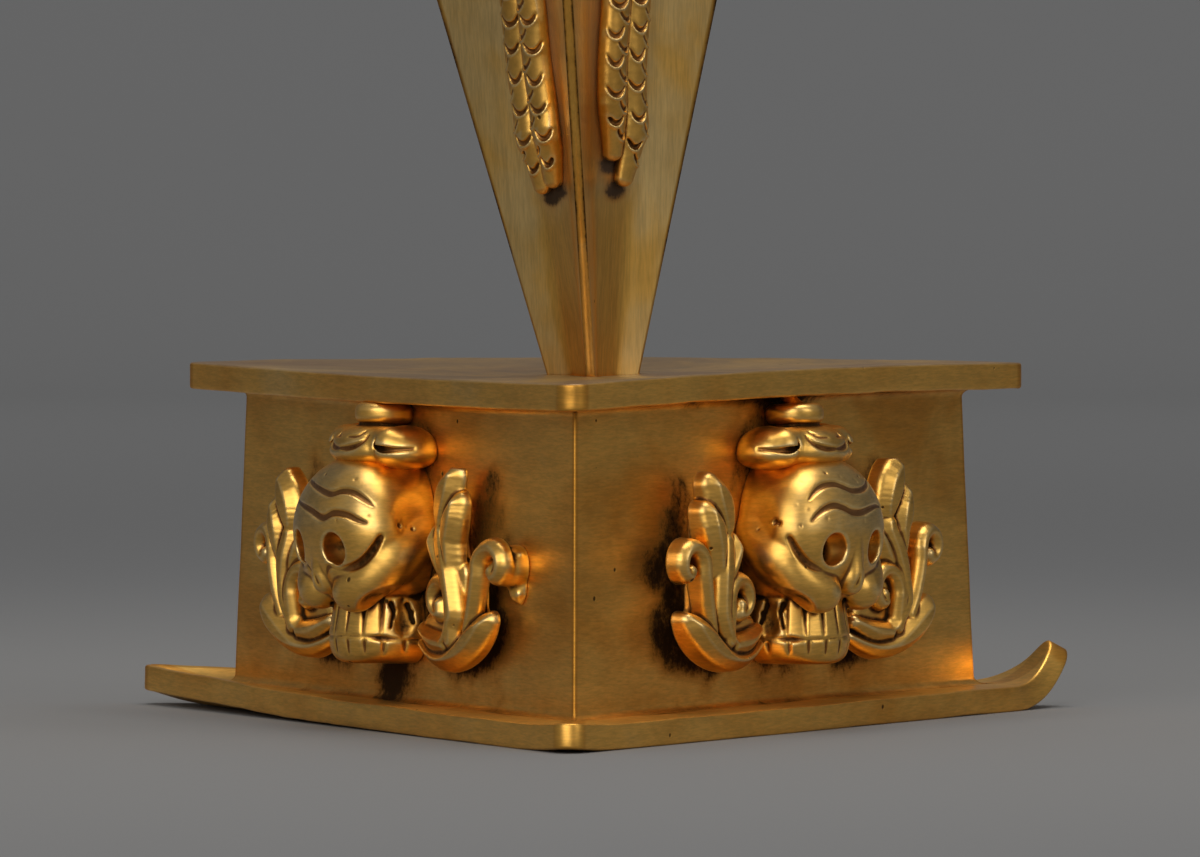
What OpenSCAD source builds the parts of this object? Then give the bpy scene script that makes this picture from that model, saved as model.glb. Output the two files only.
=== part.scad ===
// Ritual dagger, or phurba, standing in a three-sided stand with a skull ornament on each wall.
// Millimetres, +Z up. The origin is on the surface it stands on, below the centre of the stand,
// and one corner of the stand points along -Y.

/* [Stand] */
// Overall height of the stand
stand_h = 37.5; // [36:0.5:44]
// Axis to a corner of the base plate
base_corner_r = 58; // [56:0.5:64]
// Thickness of the base plate
base_t = 2.7; // [2:0.1:3.5]
// Axis to a corner of the top plate
plate_corner_r = 52; // [50:0.5:56]
// Thickness of the top plate
plate_t = 2.85; // [2.2:0.05:3.5]
// How far the arc that blunts a plate's corner cuts it back
corner_blunt = 1.8; // [1:0.1:3]
// Axis to a corner of the wall where it meets the base plate
wall_corner_foot = 46.6; // [45:0.2:48]
// Axis to a corner of the wall where it meets the top plate
wall_corner_head = 45; // [43:0.2:46]
// Thickness of the wall
wall_t = 2.4; // [1.6:0.1:3.2]
// Radius of the cove between the wall and a plate
cove_r = 0.85; // [0.4:0.05:1.1]
// Depth of the worn hollow in the top plate
dish_depth = 0.7; // [0.3:0.1:1]
// Width of the worn hollow in the top plate
dish_d = 44; // [36:1:46]

/* [Upturned corners of the base plate] */
// Rise of the front corner
front_rise = 0.45; // [0.2:0.05:1.5]
// Rise of the right corner
right_rise = 6.1; // [2:0.1:6.5]
// Rise of the left corner
left_rise = 1.6; // [0.5:0.1:4]
// Flat plate left between the foot of the wall's corner and the bend
bend_gap = 0.3; // [0.1:0.1:0.6]

/* [Blade] */
// Lean of the dagger towards -X, in degrees
lean = 2.7; // [0:0.1:4]
// How far the dagger stands from the axis of the stand, towards -X
blade_shift = 0.2; // [0:0.1:0.4]
// Length of blade below the top of the hollow in the plate
seat_depth = 18.5; // [14:0.5:22]
// Growth of a fin's radius per millimetre of length
fin_slope = 0.291; // [0.26:0.005:0.31]
// Length of the blade, tip to the makara's mouth
blade_len = 84; // [80:1:92]
// Height of the shoulder, where the fins are widest
shoulder_s = 74; // [70:1:76]
// Width of the flat that blunts each fin
land_w = 0.8; // [0.4:0.1:1.2]
// Radius of the valley between two fins, as a share of the fin's radius
valley_share = 0.31; // [0.26:0.01:0.36]
// Clearance between the blade and the hole in the top plate
blade_clear = 0.3; // [0.2:0.05:0.6]

/* [Nagas] */
// Thickness of a naga's body
naga_d = 2.7; // [2.2:0.1:3.2]
// Blade length at which the tails end
naga_tail_s = 39; // [34:1:46]
// Sideways swing of the bodies as they twine
naga_swing = 0.35; // [0:0.05:0.5]

/* [Handle] */
// Height of the makara head
makara_h = 26; // [22:1:32]
// Radius of the makara head at its brow
makara_r = 13.5; // [12:0.5:16]
// Height of a lotus collar
lotus_h = 6; // [5:0.5:8]
// Radius of a lotus collar
lotus_r = 9.5; // [8:0.5:11]
// Number of petals round a lotus collar
petals = 12; // [8:2:16]
// Height of a knot
knot_h = 12; // [10:0.5:15]
// Radius of a knot at its middle
knot_r = 8.6; // [7.5:0.1:10]
// Length of the eight-sided grip
grip_len = 30; // [24:1:40]
// Radius of the grip at its corners
grip_r = 5.6; // [5:0.1:6.5]
// Height of the half vajra on top
vajra_h = 36; // [30:1:42]
// Greatest radius of the vajra's prongs
vajra_r = 10.5; // [9:0.5:12]
// Diameter of the tang rod that holds the handle together
tang_d = 3.2; // [2.6:0.1:3.8]
// Clearance round the tang rod
tang_clear = 0.12; // [0.08:0.02:0.2]

/* [Ornaments] */
// Radius of the skull's cranium, seen from the front
cranium_r = 8.9; // [8.4:0.1:9.2]
// Distance of the cranium's widest section from the wall
cranium_out = 4.5; // [3.5:0.1:5]
// Depth of the face in front of that section
face_depth = 5.7; // [5:0.1:6]
// Height from the cranium's centre to the seat of the hair
hair_rise = 5.9; // [5.6:0.1:6.4]
// Height of the hair and its knob
hair_h = 7.6; // [7:0.1:8]
// Gap between the knob and the top plate
knob_gap = 0.5; // [0.3:0.1:1.2]
// Height of the teeth, both rows together
teeth_h = 7; // [6.4:0.1:7.4]
// Radius of the knob on top of the hair
knob_r = 3; // [2.6:0.1:3.3]
// Height of a scroll wing's face above the wall
wing_h = 5.6; // [4.6:0.1:6]
// Gap between a scroll wing and its skull
wing_gap = 0.3; // [0.2:0.05:0.6]
// Diameter of the pins that fix the skulls
skull_pin_d = 2.4; // [1.8:0.1:3]
// Diameter of the pins that fix the wings
wing_pin_d = 1.5; // [1.2:0.1:1.8]
// Clearance between a pin and its hole
pin_clear = 0.06; // [0.04:0.01:0.1]

/* [Hidden] */
$fn = 64;

gilt = "#b98a35";
dark_gilt = "#8f6526";
steel = "#77736c";

FRONT_RIGHT = -30;
FRONT_LEFT = -150;
BACK = 90;
WALL_SIDES = [FRONT_RIGHT, FRONT_LEFT, BACK];
FINS = 3;
RIGHT_VALLEY = 60;
LEFT_VALLEY = -60;
BACK_VALLEY = 180;
VALLEYS = [RIGHT_VALLEY, LEFT_VALLEY, BACK_VALLEY];
reach = 250;

plate_under = stand_h - plate_t;
wall_h = plate_under - base_t;
foot_apothem = wall_corner_foot / 2;
head_apothem = wall_corner_head / 2;
wall_tilt = atan((foot_apothem - head_apothem) / wall_h);
plate_seat = stand_h - dish_depth;
dish_steps = 7;
bend_steps = 6;
curl_start = wall_corner_foot + 2 * cove_r + bend_gap;
curl_run = base_corner_r - curl_start;

makara_s = blade_len;
lower_lotus_s = makara_s + makara_h;
lower_knot_s = lower_lotus_s + lotus_h;
grip_s = lower_knot_s + knot_h;
upper_knot_s = grip_s + grip_len;
upper_lotus_s = upper_knot_s + knot_h;
vajra_s = upper_lotus_s + lotus_h;
tang_in_blade = 14;
tang_in_vajra = 7;
tang_low = blade_len - tang_in_blade;
tang_high = vajra_s + tang_in_vajra;
end_gap = 0.4;
naga_top = blade_len - 0.4;

hair_v = wall_h - knob_gap - hair_h;
cranium_v = hair_v - hair_rise;
face_out = cranium_out + face_depth;
face_square = 2.6;
upper_face = 7;
teeth_v = cranium_v - upper_face - teeth_h;
jaw_r = 6.1;
jaw_out = 1.6;
wing_u = cranium_r + wing_gap;

skull_pin_r = skull_pin_d / 2;
wing_pin_r = wing_pin_d / 2;
skull_pin_v = cranium_v;
skull_pin_reach = 5;
wing_pin_reach = 2.2;
pin_head = 0.9;
wing_pin_at = [8.2, 3.7];

// Smooth curve through a list of points, with the given number of steps between two of them.
function curve(p, steps) = [
  for (i = [0 : len(p) - 2])
    for (j = [0 : steps - (i == len(p) - 2 ? 0 : 1)])
      let (
        t = j / steps,
        a = p[max(i - 1, 0)],
        b = p[i],
        c = p[i + 1],
        d = p[min(i + 2, len(p) - 1)]
      )
      0.5 * (2 * b + (c - a) * t + (2 * a - 5 * b + 4 * c - d) * t * t
        + (3 * b - a - 3 * c + d) * t * t * t)
];

function unit(v) = v / max(norm(v), 0.000001);

function heading(p, i) = unit(p[min(i + 1, len(p) - 1)] - p[max(i - 1, 0)]);

// Faces of a skin over rings of n points, closed at both ends.
function skin_faces(rings, n) = concat(
  [for (i = [0 : rings - 2]) for (j = [0 : n - 1]) [
    i * n + j, (i + 1) * n + j, (i + 1) * n + (j + 1) % n
  ]],
  [for (i = [0 : rings - 2]) for (j = [0 : n - 1]) [
    i * n + j, (i + 1) * n + (j + 1) % n, i * n + (j + 1) % n
  ]],
  [[for (j = [0 : n - 1]) j]],
  [[for (j = [n - 1 : -1 : 0]) (rings - 1) * n + j]]
);

// Round tube along path, where each point is [x, y, z, radius] and ref is roughly across the path.
module tube(path, ref, sides) {
  centres = [for (q = path) [q[0], q[1], q[2]]];
  points = [
    for (i = [0 : len(path) - 1])
      let (
        t = heading(centres, i),
        n = unit(cross(ref, t)),
        b = cross(t, n)
      )
      for (j = [0 : sides - 1])
        centres[i] + path[i][3] * (cos(360 * (j + 0.5) / sides) * n + sin(360 * (j + 0.5) / sides) * b)
  ];
  polyhedron(points, skin_faces(len(path), sides));
}

// Outline of a strand. Each point of path is [u, v, half width].
function strand_outline(path) = let (
  flat = [for (q = path) [q[0], q[1]]],
  left = [
    for (i = [0 : len(path) - 1])
      let (t = heading(flat, i))
      flat[i] + path[i][2] * [-t[1], t[0]]
  ],
  right = [
    for (i = [len(path) - 1 : -1 : 0])
      let (t = heading(flat, i))
      flat[i] - path[i][2] * [-t[1], t[0]]
  ]
) concat(left, right);

// All strands of a wing, run together where they come closer than twice the seam.
module wing_outline() {
  seam = 0.12;
  offset(delta = -seam)
    offset(delta = seam)
      for (path = [plume, outer_curl, inner_curl, leaf, small_leaf])
        polygon(strand_outline(path));
}

// Places an ornament: X runs to the right as one faces the wall, Z up it, and -Y out of it.
module on_wall(side) {
  rotate([0, 0, side + 90])
    translate([0, -foot_apothem, base_t])
      rotate([-wall_tilt, 0, 0])
        children();
}

// Places a piece of the dagger: Z runs up its own axis from the tip of the blade.
module on_dagger() {
  translate([-blade_shift, 0, plate_seat])
    rotate([0, -lean, 0])
      translate([0, 0, -seat_depth])
        children();
}

module plate_outline(corner_r) {
  rotate(-90)
    intersection() {
      circle(r = corner_r + corner_blunt, $fn = 3);
      circle(r = corner_r, $fn = 96);
    }
}

// Three-sided prism whose sides lean in towards the top.
module leaning_prism(low_apothem, high_apothem, low, high) {
  slope = atan((low_apothem - high_apothem) / (high - low));
  intersection() {
    intersection_for (side = WALL_SIDES)
      rotate([0, 0, side])
        translate([low_apothem, 0, low])
          rotate([0, -slope, 0])
            translate([-reach, -reach / 2, -reach / 2])
              cube(reach);
    translate([-reach / 2, -reach / 2, low])
      cube([reach, reach, high - low]);
  }
}

// Side view of a corner bent up by rise: points along a face that lies deep below the bend's centre.
function bend_side(rise, depth) = let (
  bend_r = (pow(curl_run, 2) + pow(rise, 2)) / (2 * rise),
  whole = 1.15 * asin(curl_run / bend_r)
) [
  for (i = [0 : bend_steps])
    let (a = whole * i / bend_steps)
    [(bend_r - depth) * sin(a), bend_r - (bend_r - depth) * cos(a)]
];

module base_plate() {
  blank_h = max(front_rise, right_rise, left_rise) + 2 * base_t;
  beyond = 2 * curl_run;
  color(dark_gilt)
    difference() {
      linear_extrude(blank_h)
        plate_outline(base_corner_r);
      for (corner = [[-90, front_rise], [30, right_rise], [150, left_rise]])
        rotate(corner[0])
          translate([curl_start, reach / 4, 0])
            rotate([90, 0, 0])
              linear_extrude(reach / 2) {
                polygon(concat(
                  [[-1.1 * curl_start, base_t]],
                  bend_side(corner[1], base_t),
                  [[beyond, 2 * blank_h], [-1.1 * curl_start, 2 * blank_h]]
                ));
                polygon(concat(bend_side(corner[1], 0), [[beyond, 0], [beyond, -1], [0, -1]]));
              }
    }
}

// Cylinders that hollow out the coves along the three sides.
module cove_cuts(apothem, z) {
  for (side = WALL_SIDES)
    rotate(side)
      translate([apothem + cove_r, 0, z])
        rotate([90, 0, 0])
          cylinder(r = cove_r, h = reach, center = true);
}

module pin_holes() {
  for (side = WALL_SIDES)
    on_wall(side) {
      translate([0, reach / 10, skull_pin_v])
        rotate([90, 0, 0])
          cylinder(r = skull_pin_r + pin_clear, h = reach / 5);
      for (hand = [-1, 1])
        translate([hand * (wing_u + wing_pin_at[0]), reach / 10, teeth_v + wing_pin_at[1]])
          rotate([90, 0, 0])
            cylinder(r = wing_pin_r + pin_clear, h = reach / 5);
    }
}

module stand_wall() {
  color(gilt)
    difference() {
      union() {
        leaning_prism(foot_apothem, head_apothem, base_t, plate_under);
        difference() {
          leaning_prism(foot_apothem + cove_r, foot_apothem + cove_r, base_t, base_t + cove_r);
          cove_cuts(foot_apothem, base_t + cove_r);
        }
        difference() {
          leaning_prism(head_apothem + cove_r, head_apothem + cove_r, plate_under - cove_r, plate_under);
          cove_cuts(head_apothem, plate_under - cove_r);
        }
      }
      leaning_prism(
        foot_apothem - wall_t + sin(wall_tilt), head_apothem - wall_t - sin(wall_tilt),
        base_t - 1, plate_under + 1
      );
      pin_holes();
    }
}

// Outline of the blade at one height: three blunt fins with hollow valleys between them.
function fin_ring(r, core, land) = [
  for (fin = [0 : FINS - 1])
    let (
      a = -90 + fin * 120,
      half_land = min(land, r / 4) / 2,
      rim = [-half_land, half_land],
      hollow = [[0.53, 11.4], [0.35, 32], [valley_share, 60], [0.35, 88], [0.53, 108.6]]
    )
    for (k = [0 : 6])
      k < 2
        ? [r * cos(a) - rim[k] * sin(a), r * sin(a) + rim[k] * cos(a)]
        : let (
            h = hollow[k - 2],
            q = max(h[0] * r, core * h[0] / 0.35)
          )
          [q * cos(a + h[1]), q * sin(a + h[1])]
];

function fin_r(s) = s < shoulder_s
  ? max(fin_slope * s, 0.8)
  : let (
      top = fin_slope * shoulder_s,
      t = (s - shoulder_s) / (blade_len - shoulder_s)
    )
    top - (top - makara_r * 0.7) * pow(t, 1.8);

function core_r(s) = s < shoulder_s ? 0.35 : 0.35 * fin_slope * shoulder_s;

module blade_body() {
  heights = [0, 4, 12, 24, 40, 56, 66, shoulder_s,
    for (t = [0.2 : 0.2 : 1]) shoulder_s + t * (blade_len - shoulder_s)];
  points = [
    for (s = heights)
      for (q = fin_ring(fin_r(s), core_r(s), land_w))
        [q[0], q[1], s]
  ];
  polyhedron(points, skin_faces(len(heights), 7 * FINS));
}

module blade() {
  color(gilt)
    on_dagger()
      difference() {
        blade_body();
        translate([0, 0, tang_low - end_gap])
          cylinder(d = tang_d + 2 * tang_clear, h = reach);
      }
}

// A loop of points moved outwards by the gap c.
function grown(loop, c) = [
  for (i = [0 : len(loop) - 1])
    let (
      n = len(loop),
      before = unit(loop[i] - loop[(i + n - 1) % n]),
      after = unit(loop[(i + 1) % n] - loop[i]),
      na = [before[1], -before[0]],
      nb = [after[1], -after[0]]
    )
    loop[i] + c * (na + nb) / (1 + na * nb)
];

module top_plate() {
  seat_r = fin_r(seat_depth);
  color(gilt)
    difference() {
      translate([0, 0, plate_under])
        linear_extrude(plate_t)
          plate_outline(plate_corner_r);
      rotate_extrude()
        polygon(concat(
          [[dish_d / 2, stand_h + 1], [0, stand_h + 1]],
          [for (i = [0 : dish_steps]) [
            dish_d / 2 * i / dish_steps,
            plate_seat + dish_depth * pow(i / dish_steps, 2)
          ]]
        ));
      on_dagger()
        translate([0, 0, seat_depth - 2 * plate_t])
          linear_extrude(4 * plate_t)
            polygon(grown(fin_ring(seat_r, 0.35, land_w), blade_clear));
    }
}

// Swelling with round ends between two points of an ornament, given as [u, out, v, radius].
module lobe(a, b) {
  start = [a[0], -a[1], a[2]];
  d = [b[0], -b[1], b[2]] - start;
  arc = [for (k = [0 : 15 : 90]) k];
  translate(start)
    rotate([0, acos(d[2] / norm(d)), atan2(d[1], d[0])])
      rotate_extrude($fn = 48)
        polygon(concat(
          [for (k = arc) a[3] * [sin(k), -cos(k)]],
          [for (k = arc) [b[3] * cos(k), norm(d) + b[3] * sin(k)]]
        ));
}

// Two rows of teeth on a jaw that narrows to the chin.
module teeth_block() {
  groove_w = 0.4;
  groove_depth = 0.6;
  bite_r = 0.55;
  difference() {
    translate([0, -jaw_out, teeth_v])
      cylinder(r1 = jaw_r - 0.8, r2 = jaw_r, h = teeth_h);
    translate([0, -jaw_out, teeth_v + 0.43 * teeth_h])
      rotate_extrude()
        translate([jaw_r, 0])
          circle(r = bite_r, $fn = 24);
    for (a = [-75 : 25 : 75])
      translate([0, -jaw_out, 0])
        rotate(a - 90)
          translate([jaw_r - groove_depth, -groove_w / 2, 0])
            cube([2, groove_w, reach / 10]);
  }
}

// Distance of the forehead's surface from the wall, at u beside and rise above the cranium's centre.
function forehead(u, rise) =
  cranium_out + face_depth * pow(1 - pow(norm([u, rise]) / cranium_r, face_square), 1 / face_square);

// Flat-fronted round of the cranium.
module cranium() {
  nape = 0.9;
  translate([0, 0, cranium_v])
    rotate([90, 0, 0])
      rotate_extrude()
        polygon(concat(
          [[0, 0], [nape * cranium_r, 0]],
          [for (a = [0 : 7.5 : 82.5]) [
            cranium_r * pow(cos(a), 2 / face_square),
            cranium_out + face_depth * pow(sin(a), 2 / face_square)
          ]],
          [[0, face_out]]
        ));
}

// Brow lines that follow the round of the forehead.
module brow_lines() {
  half_width = 4.2;
  line_r = 0.45;
  for (rise = [2.5, 4.6]) {
    sag = forehead(0, rise) - forehead(half_width, rise);
    bend_r = (pow(half_width, 2) + pow(sag, 2)) / (2 * sag);
    translate([0, bend_r - forehead(0, rise), cranium_v + rise])
      intersection() {
        rotate_extrude($fn = 128)
          translate([bend_r, 0])
            circle(r = line_r, $fn = 24);
        translate([-half_width, -reach / 2, -1])
          cube([2 * half_width, reach / 2 - 3, 2]);
      }
  }
}

module skull(side) {
  color(gilt)
    on_wall(side)
      difference() {
        intersection() {
          union() {
            cranium();
            for (hand = [-1, 1])
              lobe(
                [hand * (cranium_r - 1.8), 3.4, cranium_v - 2.5, 2.1],
                [hand * 3.6, face_out - 2.4, cranium_v - 6.3, 2]
              );
            lobe([0, face_out - 1.2, cranium_v - 1, 0.95], [0, face_out - 1.4, cranium_v - 5.3, 1.3]);
            teeth_block();
          }
          translate([-reach / 2, -reach, 0])
            cube([reach, reach, hair_v]);
        }
        for (hand = [-1, 1]) {
          translate([hand * 3.75, 3.2 - face_out, cranium_v - 1.6])
            rotate([90, 0, hand * 6])
              cylinder(r1 = 1.1, r2 = 1.9, h = 4);
          translate([hand * 0.6, 1.3 - face_out, cranium_v - 5.6])
            rotate([90, 0, 0])
              cylinder(r1 = 0.3, r2 = 0.45, h = 2);
        }
        brow_lines();
        translate([0, 1, skull_pin_v])
          rotate([90, 0, 0])
            cylinder(r = skull_pin_r + pin_clear, h = 1 + skull_pin_reach + end_gap);
      }
}

// Three swellings of hair, one to the front and one to each side, under a knob.
module topknot(side) {
  swellings = [[0, 4.3, 3.7], [-4.6, 3, 3.8], [4.6, 3, 3.8]];
  cushion_r = 1.6;
  cushion_rise = 2.7;
  knob_h = 2;
  knob_rim = 0.8;
  knob_out = 2.6;
  rim = [for (a = [-90 : 15 : 90]) a];
  color(gilt)
    on_wall(side)
      intersection() {
        union() {
          for (b = swellings)
            translate([b[0], -b[1], hair_v + cushion_rise])
              rotate_extrude()
                polygon(concat(
                  [[0, -cushion_r]],
                  [for (a = rim) [b[2] - cushion_r + cushion_r * cos(a), cushion_r * sin(a)]],
                  [[0, cushion_r]]
                ));
          translate([0, -jaw_out, hair_v])
            cylinder(r = cranium_r - 3.2, h = cushion_rise);
          translate([0, -knob_out, hair_v + cushion_rise])
            cylinder(r1 = knob_r + 2, r2 = knob_r - 0.5, h = hair_h - knob_h - cushion_rise + 0.1);
          translate([0, -knob_out, hair_v + hair_h - knob_h])
            cylinder(r = knob_r - 0.3, h = knob_h);
          translate([0, -knob_out, hair_v + hair_h - knob_h / 2])
            rotate_extrude()
              translate([knob_r - knob_rim, 0])
                circle(r = knob_rim, $fn = 24);
        }
        translate([-reach / 2, -reach, hair_v])
          cube([reach, reach, reach]);
      }
}

// Part of a spiral round c, from radius r[0] and angle a[0] to r[1] and a[1], as a strand.
function spiral(c, r, a, half_width, steps) = [
  for (i = [0 : steps])
    let (
      t = i / steps,
      q = r[0] + (r[1] - r[0]) * t,
      b = a[0] + (a[1] - a[0]) * t
    )
    [c[0] + q * cos(b), c[1] + q * sin(b), half_width[0] + (half_width[1] - half_width[0]) * t]
];

// Strands of a scroll wing: [distance from the skull's side, height above the chin, half width].
plume = curve([[8.1, 2.7, 1.1], [8.2, 6.9, 1.25], [8.3, 10.8, 1.6], [9, 14.2, 2.15], [8.9, 17, 2.3],
  [9.6, 19.2, 1.6], [9.9, 20.3, 0.6]], 2);
outer_eye = [14.4, 11.2];
outer_curl = concat(
  curve([[9.8, 3.5, 1.1], [10.8, 6.6, 1.05], [11.6, 9.6, 1]], 2),
  spiral(outer_eye, [2.3, 1.6], [160, -80], [1, 0.75], 8)
);
inner_eye = [4.3, 7.5];
inner_curl = concat(
  curve([[5.2, 2.5, 1.1], [6.3, 4.9, 1]], 2),
  spiral(inner_eye, [2, 1.5], [-20, 215], [0.95, 0.7], 8)
);
leaf = curve([[0.9, 2.5, 0.9], [3, 1.5, 1.1], [6, 1.3, 1.5], [9, 2.2, 1.8], [11.6, 3.4, 1.8],
  [13.7, 4.7, 1.2], [15, 5.6, 0.4]], 2);
small_leaf = curve([[7.4, 9.5, 0.8], [5.9, 12.3, 0.9], [5.4, 14.5, 0.3]], 2);

// Steps of a wing's carved edges: [inset from its outline, share of its height].
WING_TIERS = [[0, 0.66], [0.22, 0.86], [0.48, 1]];

// A wing to the right of its skull. hand is -1 for the wing on the left.
module scroll(side, hand) {
  color(gilt)
    on_wall(side)
      mirror([hand < 0 ? 1 : 0, 0, 0])
        translate([wing_u, 0, teeth_v])
          difference() {
            union() {
              for (tier = WING_TIERS)
                rotate([90, 0, 0])
                  linear_extrude(tier[1] * wing_h)
                    offset(delta = -tier[0])
                      wing_outline();
            }
            translate([wing_pin_at[0], 1, wing_pin_at[1]])
              rotate([90, 0, 0])
                cylinder(r = wing_pin_r + pin_clear, h = 1 + wing_pin_reach + end_gap);
          }
}

// Pin with a spread head inside the wall.
module pin(r, out) {
  translate([0, wall_t, 0])
    rotate([90, 0, 0])
      cylinder(r = r, h = wall_t + out);
  translate([0, wall_t + pin_head, 0])
    rotate([90, 0, 0])
      cylinder(r1 = 1.3 * r, r2 = 1.9 * r, h = pin_head);
}

module fixing_pins() {
  color(dark_gilt)
    for (side = WALL_SIDES)
      on_wall(side) {
        translate([0, 0, skull_pin_v])
          pin(skull_pin_r, skull_pin_reach);
        for (hand = [-1, 1])
          translate([hand * (wing_u + wing_pin_at[0]), 0, teeth_v + wing_pin_at[1]])
            pin(wing_pin_r, wing_pin_reach);
      }
}

// One snake of a pair. turn is the valley it lies in, and hand its side of the valley.
module naga(turn, hand) {
  steps = 13;
  body_r = naga_d / 2;
  path = [
    for (i = [0 : steps])
      let (
        s = naga_tail_s + (naga_top - naga_tail_s) * i / steps,
        thin = min(1, 0.45 + 0.55 * i / 3),
        valley = max(valley_share * fin_r(min(s, shoulder_s)), 1),
        out = valley + body_r * thin * 1.02,
        across = hand * (body_r * thin + 0.12 + 0.25 * min(i / 3, 1)) + naga_swing * sin(i * 75),
        a = -90 + turn
      )
      [out * cos(a) - across * sin(a), out * sin(a) + across * cos(a), s, body_r * thin]
  ];
  tube(path, [cos(turn - 90), sin(turn - 90), 0], 8);
}

module naga_pair(turn) {
  color(dark_gilt)
    on_dagger()
      difference() {
        union() {
          naga(turn, -1);
          naga(turn, 1);
        }
        blade_body();
      }
}

module tang_bore() {
  translate([0, 0, tang_low])
    cylinder(d = tang_d + 2 * tang_clear, h = tang_high - tang_low + end_gap);
}

// Snout of one makara, curling out and up over the valley it guards.
module snout(turn) {
  shape = [[8, makara_h * 0.5, 4.6], [12, makara_h * 0.32, 4], [15, makara_h * 0.2, 3],
    [17.2, makara_h * 0.24, 2.2], [18, makara_h * 0.38, 1.7], [17, makara_h * 0.48, 1.1]];
  path = curve([for (q = shape) [0, -q[0], q[1], q[2]]], 2);
  rotate(turn)
    tube(path, [1, 0, 0], 8);
}

module makara_head() {
  profile = [[0, 0], [makara_r * 0.84, 0], [makara_r * 0.95, 3], [makara_r, 8],
    [makara_r * 0.93, 14], [makara_r * 0.78, 19], [makara_r * 0.66, makara_h], [0, makara_h]];
  color(gilt)
    on_dagger()
      difference() {
        translate([0, 0, makara_s])
          union() {
            rotate_extrude()
              polygon(profile);
            for (turn = VALLEYS) {
              snout(turn);
              for (hand = [-1, 1])
                rotate(turn)
                  translate([hand * 5.2, -makara_r * 0.86, makara_h * 0.58])
                    sphere(r = 2.3, $fn = 32);
            }
          }
        tang_bore();
      }
}

module lotus(s, flip) {
  petal_r = PI * (lotus_r - 2) / petals * 1.12;
  color(gilt)
    on_dagger()
      difference() {
        translate([0, 0, s + (flip ? lotus_h : 0)])
          mirror([0, 0, flip ? 1 : 0])
            intersection() {
              union() {
                cylinder(r1 = lotus_r - 1.2, r2 = knot_r * 0.72, h = lotus_h);
                for (i = [0 : petals - 1])
                  rotate(360 * i / petals)
                    translate([lotus_r - petal_r, 0, lotus_h * 0.35])
                      sphere(r = petal_r, $fn = 32);
              }
              cylinder(r = lotus_r, h = lotus_h);
            }
        tang_bore();
      }
}

module knot(s) {
  bead = 1.3;
  color(gilt)
    on_dagger()
      difference() {
        translate([0, 0, s])
          union() {
            intersection() {
              translate([0, 0, knot_h / 2])
                sphere(r = knot_r);
              cylinder(r = knot_r, h = knot_h);
            }
            for (z = [bead, knot_h - bead])
              translate([0, 0, z])
                rotate_extrude()
                  translate([knot_r * 0.8 - bead / 2, 0])
                    circle(r = bead, $fn = 32);
          }
        tang_bore();
      }
}

module grip() {
  waist = 1.12;
  color(gilt)
    on_dagger()
      difference() {
        translate([0, 0, grip_s])
          rotate(22.5)
            union() {
              cylinder(r1 = grip_r, r2 = grip_r * waist, h = grip_len / 2, $fn = 8);
              translate([0, 0, grip_len / 2])
                cylinder(r1 = grip_r * waist, r2 = grip_r, h = grip_len / 2, $fn = 8);
            }
        tang_bore();
      }
}

module prong(turn) {
  shape = [[2.6, 5, 1.9], [6.4, 7.5, 2], [vajra_r - 2, 12, 2.1], [vajra_r - 1.7, 17, 2.1],
    [vajra_r - 3.6, 22.5, 1.9], [4, 27.5, 1.6], [2.1, 31.5, 1.3]];
  path = curve([for (q = shape) [q[0], 0, q[1] * vajra_h / 36, q[2]]], 2);
  rotate(turn)
    tube(path, [0, 1, 0], 6);
}

module half_vajra() {
  hub = [[0, 0], [6.4, 0], [7.4, 2], [6.2, 4], [4, 5.5], [3.6, 8], [2.6, 10],
    [2.2, 20], [1.8, 31], [0.7, vajra_h], [0, vajra_h]];
  color(gilt)
    on_dagger()
      difference() {
        translate([0, 0, vajra_s])
          union() {
            rotate_extrude()
              polygon(hub);
            for (turn = [0, 90, 180, 270])
              prong(turn);
          }
        tang_bore();
      }
}

module tang_rod() {
  color(steel)
    on_dagger()
      translate([0, 0, tang_low])
        cylinder(d = tang_d, h = tang_high - tang_low);
}

base_plate();
stand_wall();
top_plate();
skull(FRONT_RIGHT);  // skull_front_right
skull(FRONT_LEFT);  // skull_front_left
skull(BACK);  // skull_back
topknot(FRONT_RIGHT);  // topknot_front_right
topknot(FRONT_LEFT);  // topknot_front_left
topknot(BACK);  // topknot_back
scroll(FRONT_RIGHT, 1);  // right_scroll_front_right
scroll(FRONT_LEFT, 1);  // right_scroll_front_left
scroll(BACK, 1);  // right_scroll_back
scroll(FRONT_RIGHT, -1);  // left_scroll_front_right
scroll(FRONT_LEFT, -1);  // left_scroll_front_left
scroll(BACK, -1);  // left_scroll_back
fixing_pins();
blade();
naga_pair(RIGHT_VALLEY);  // naga_pair_front_right
naga_pair(LEFT_VALLEY);  // naga_pair_front_left
naga_pair(BACK_VALLEY);  // naga_pair_back
makara_head();
lotus(lower_lotus_s, true);  // lower_lotus
knot(lower_knot_s);  // lower_knot
grip();
knot(upper_knot_s);  // upper_knot
lotus(upper_lotus_s, false);  // upper_lotus
half_vajra();
tang_rod();
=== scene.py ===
"""Dresses a three-finned ritual dagger and its skull-carved stand around their fixed frame."""

import functools
import math

import bpy
import numpy as np
import openvdb
from mathutils import Matrix, Vector


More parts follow.
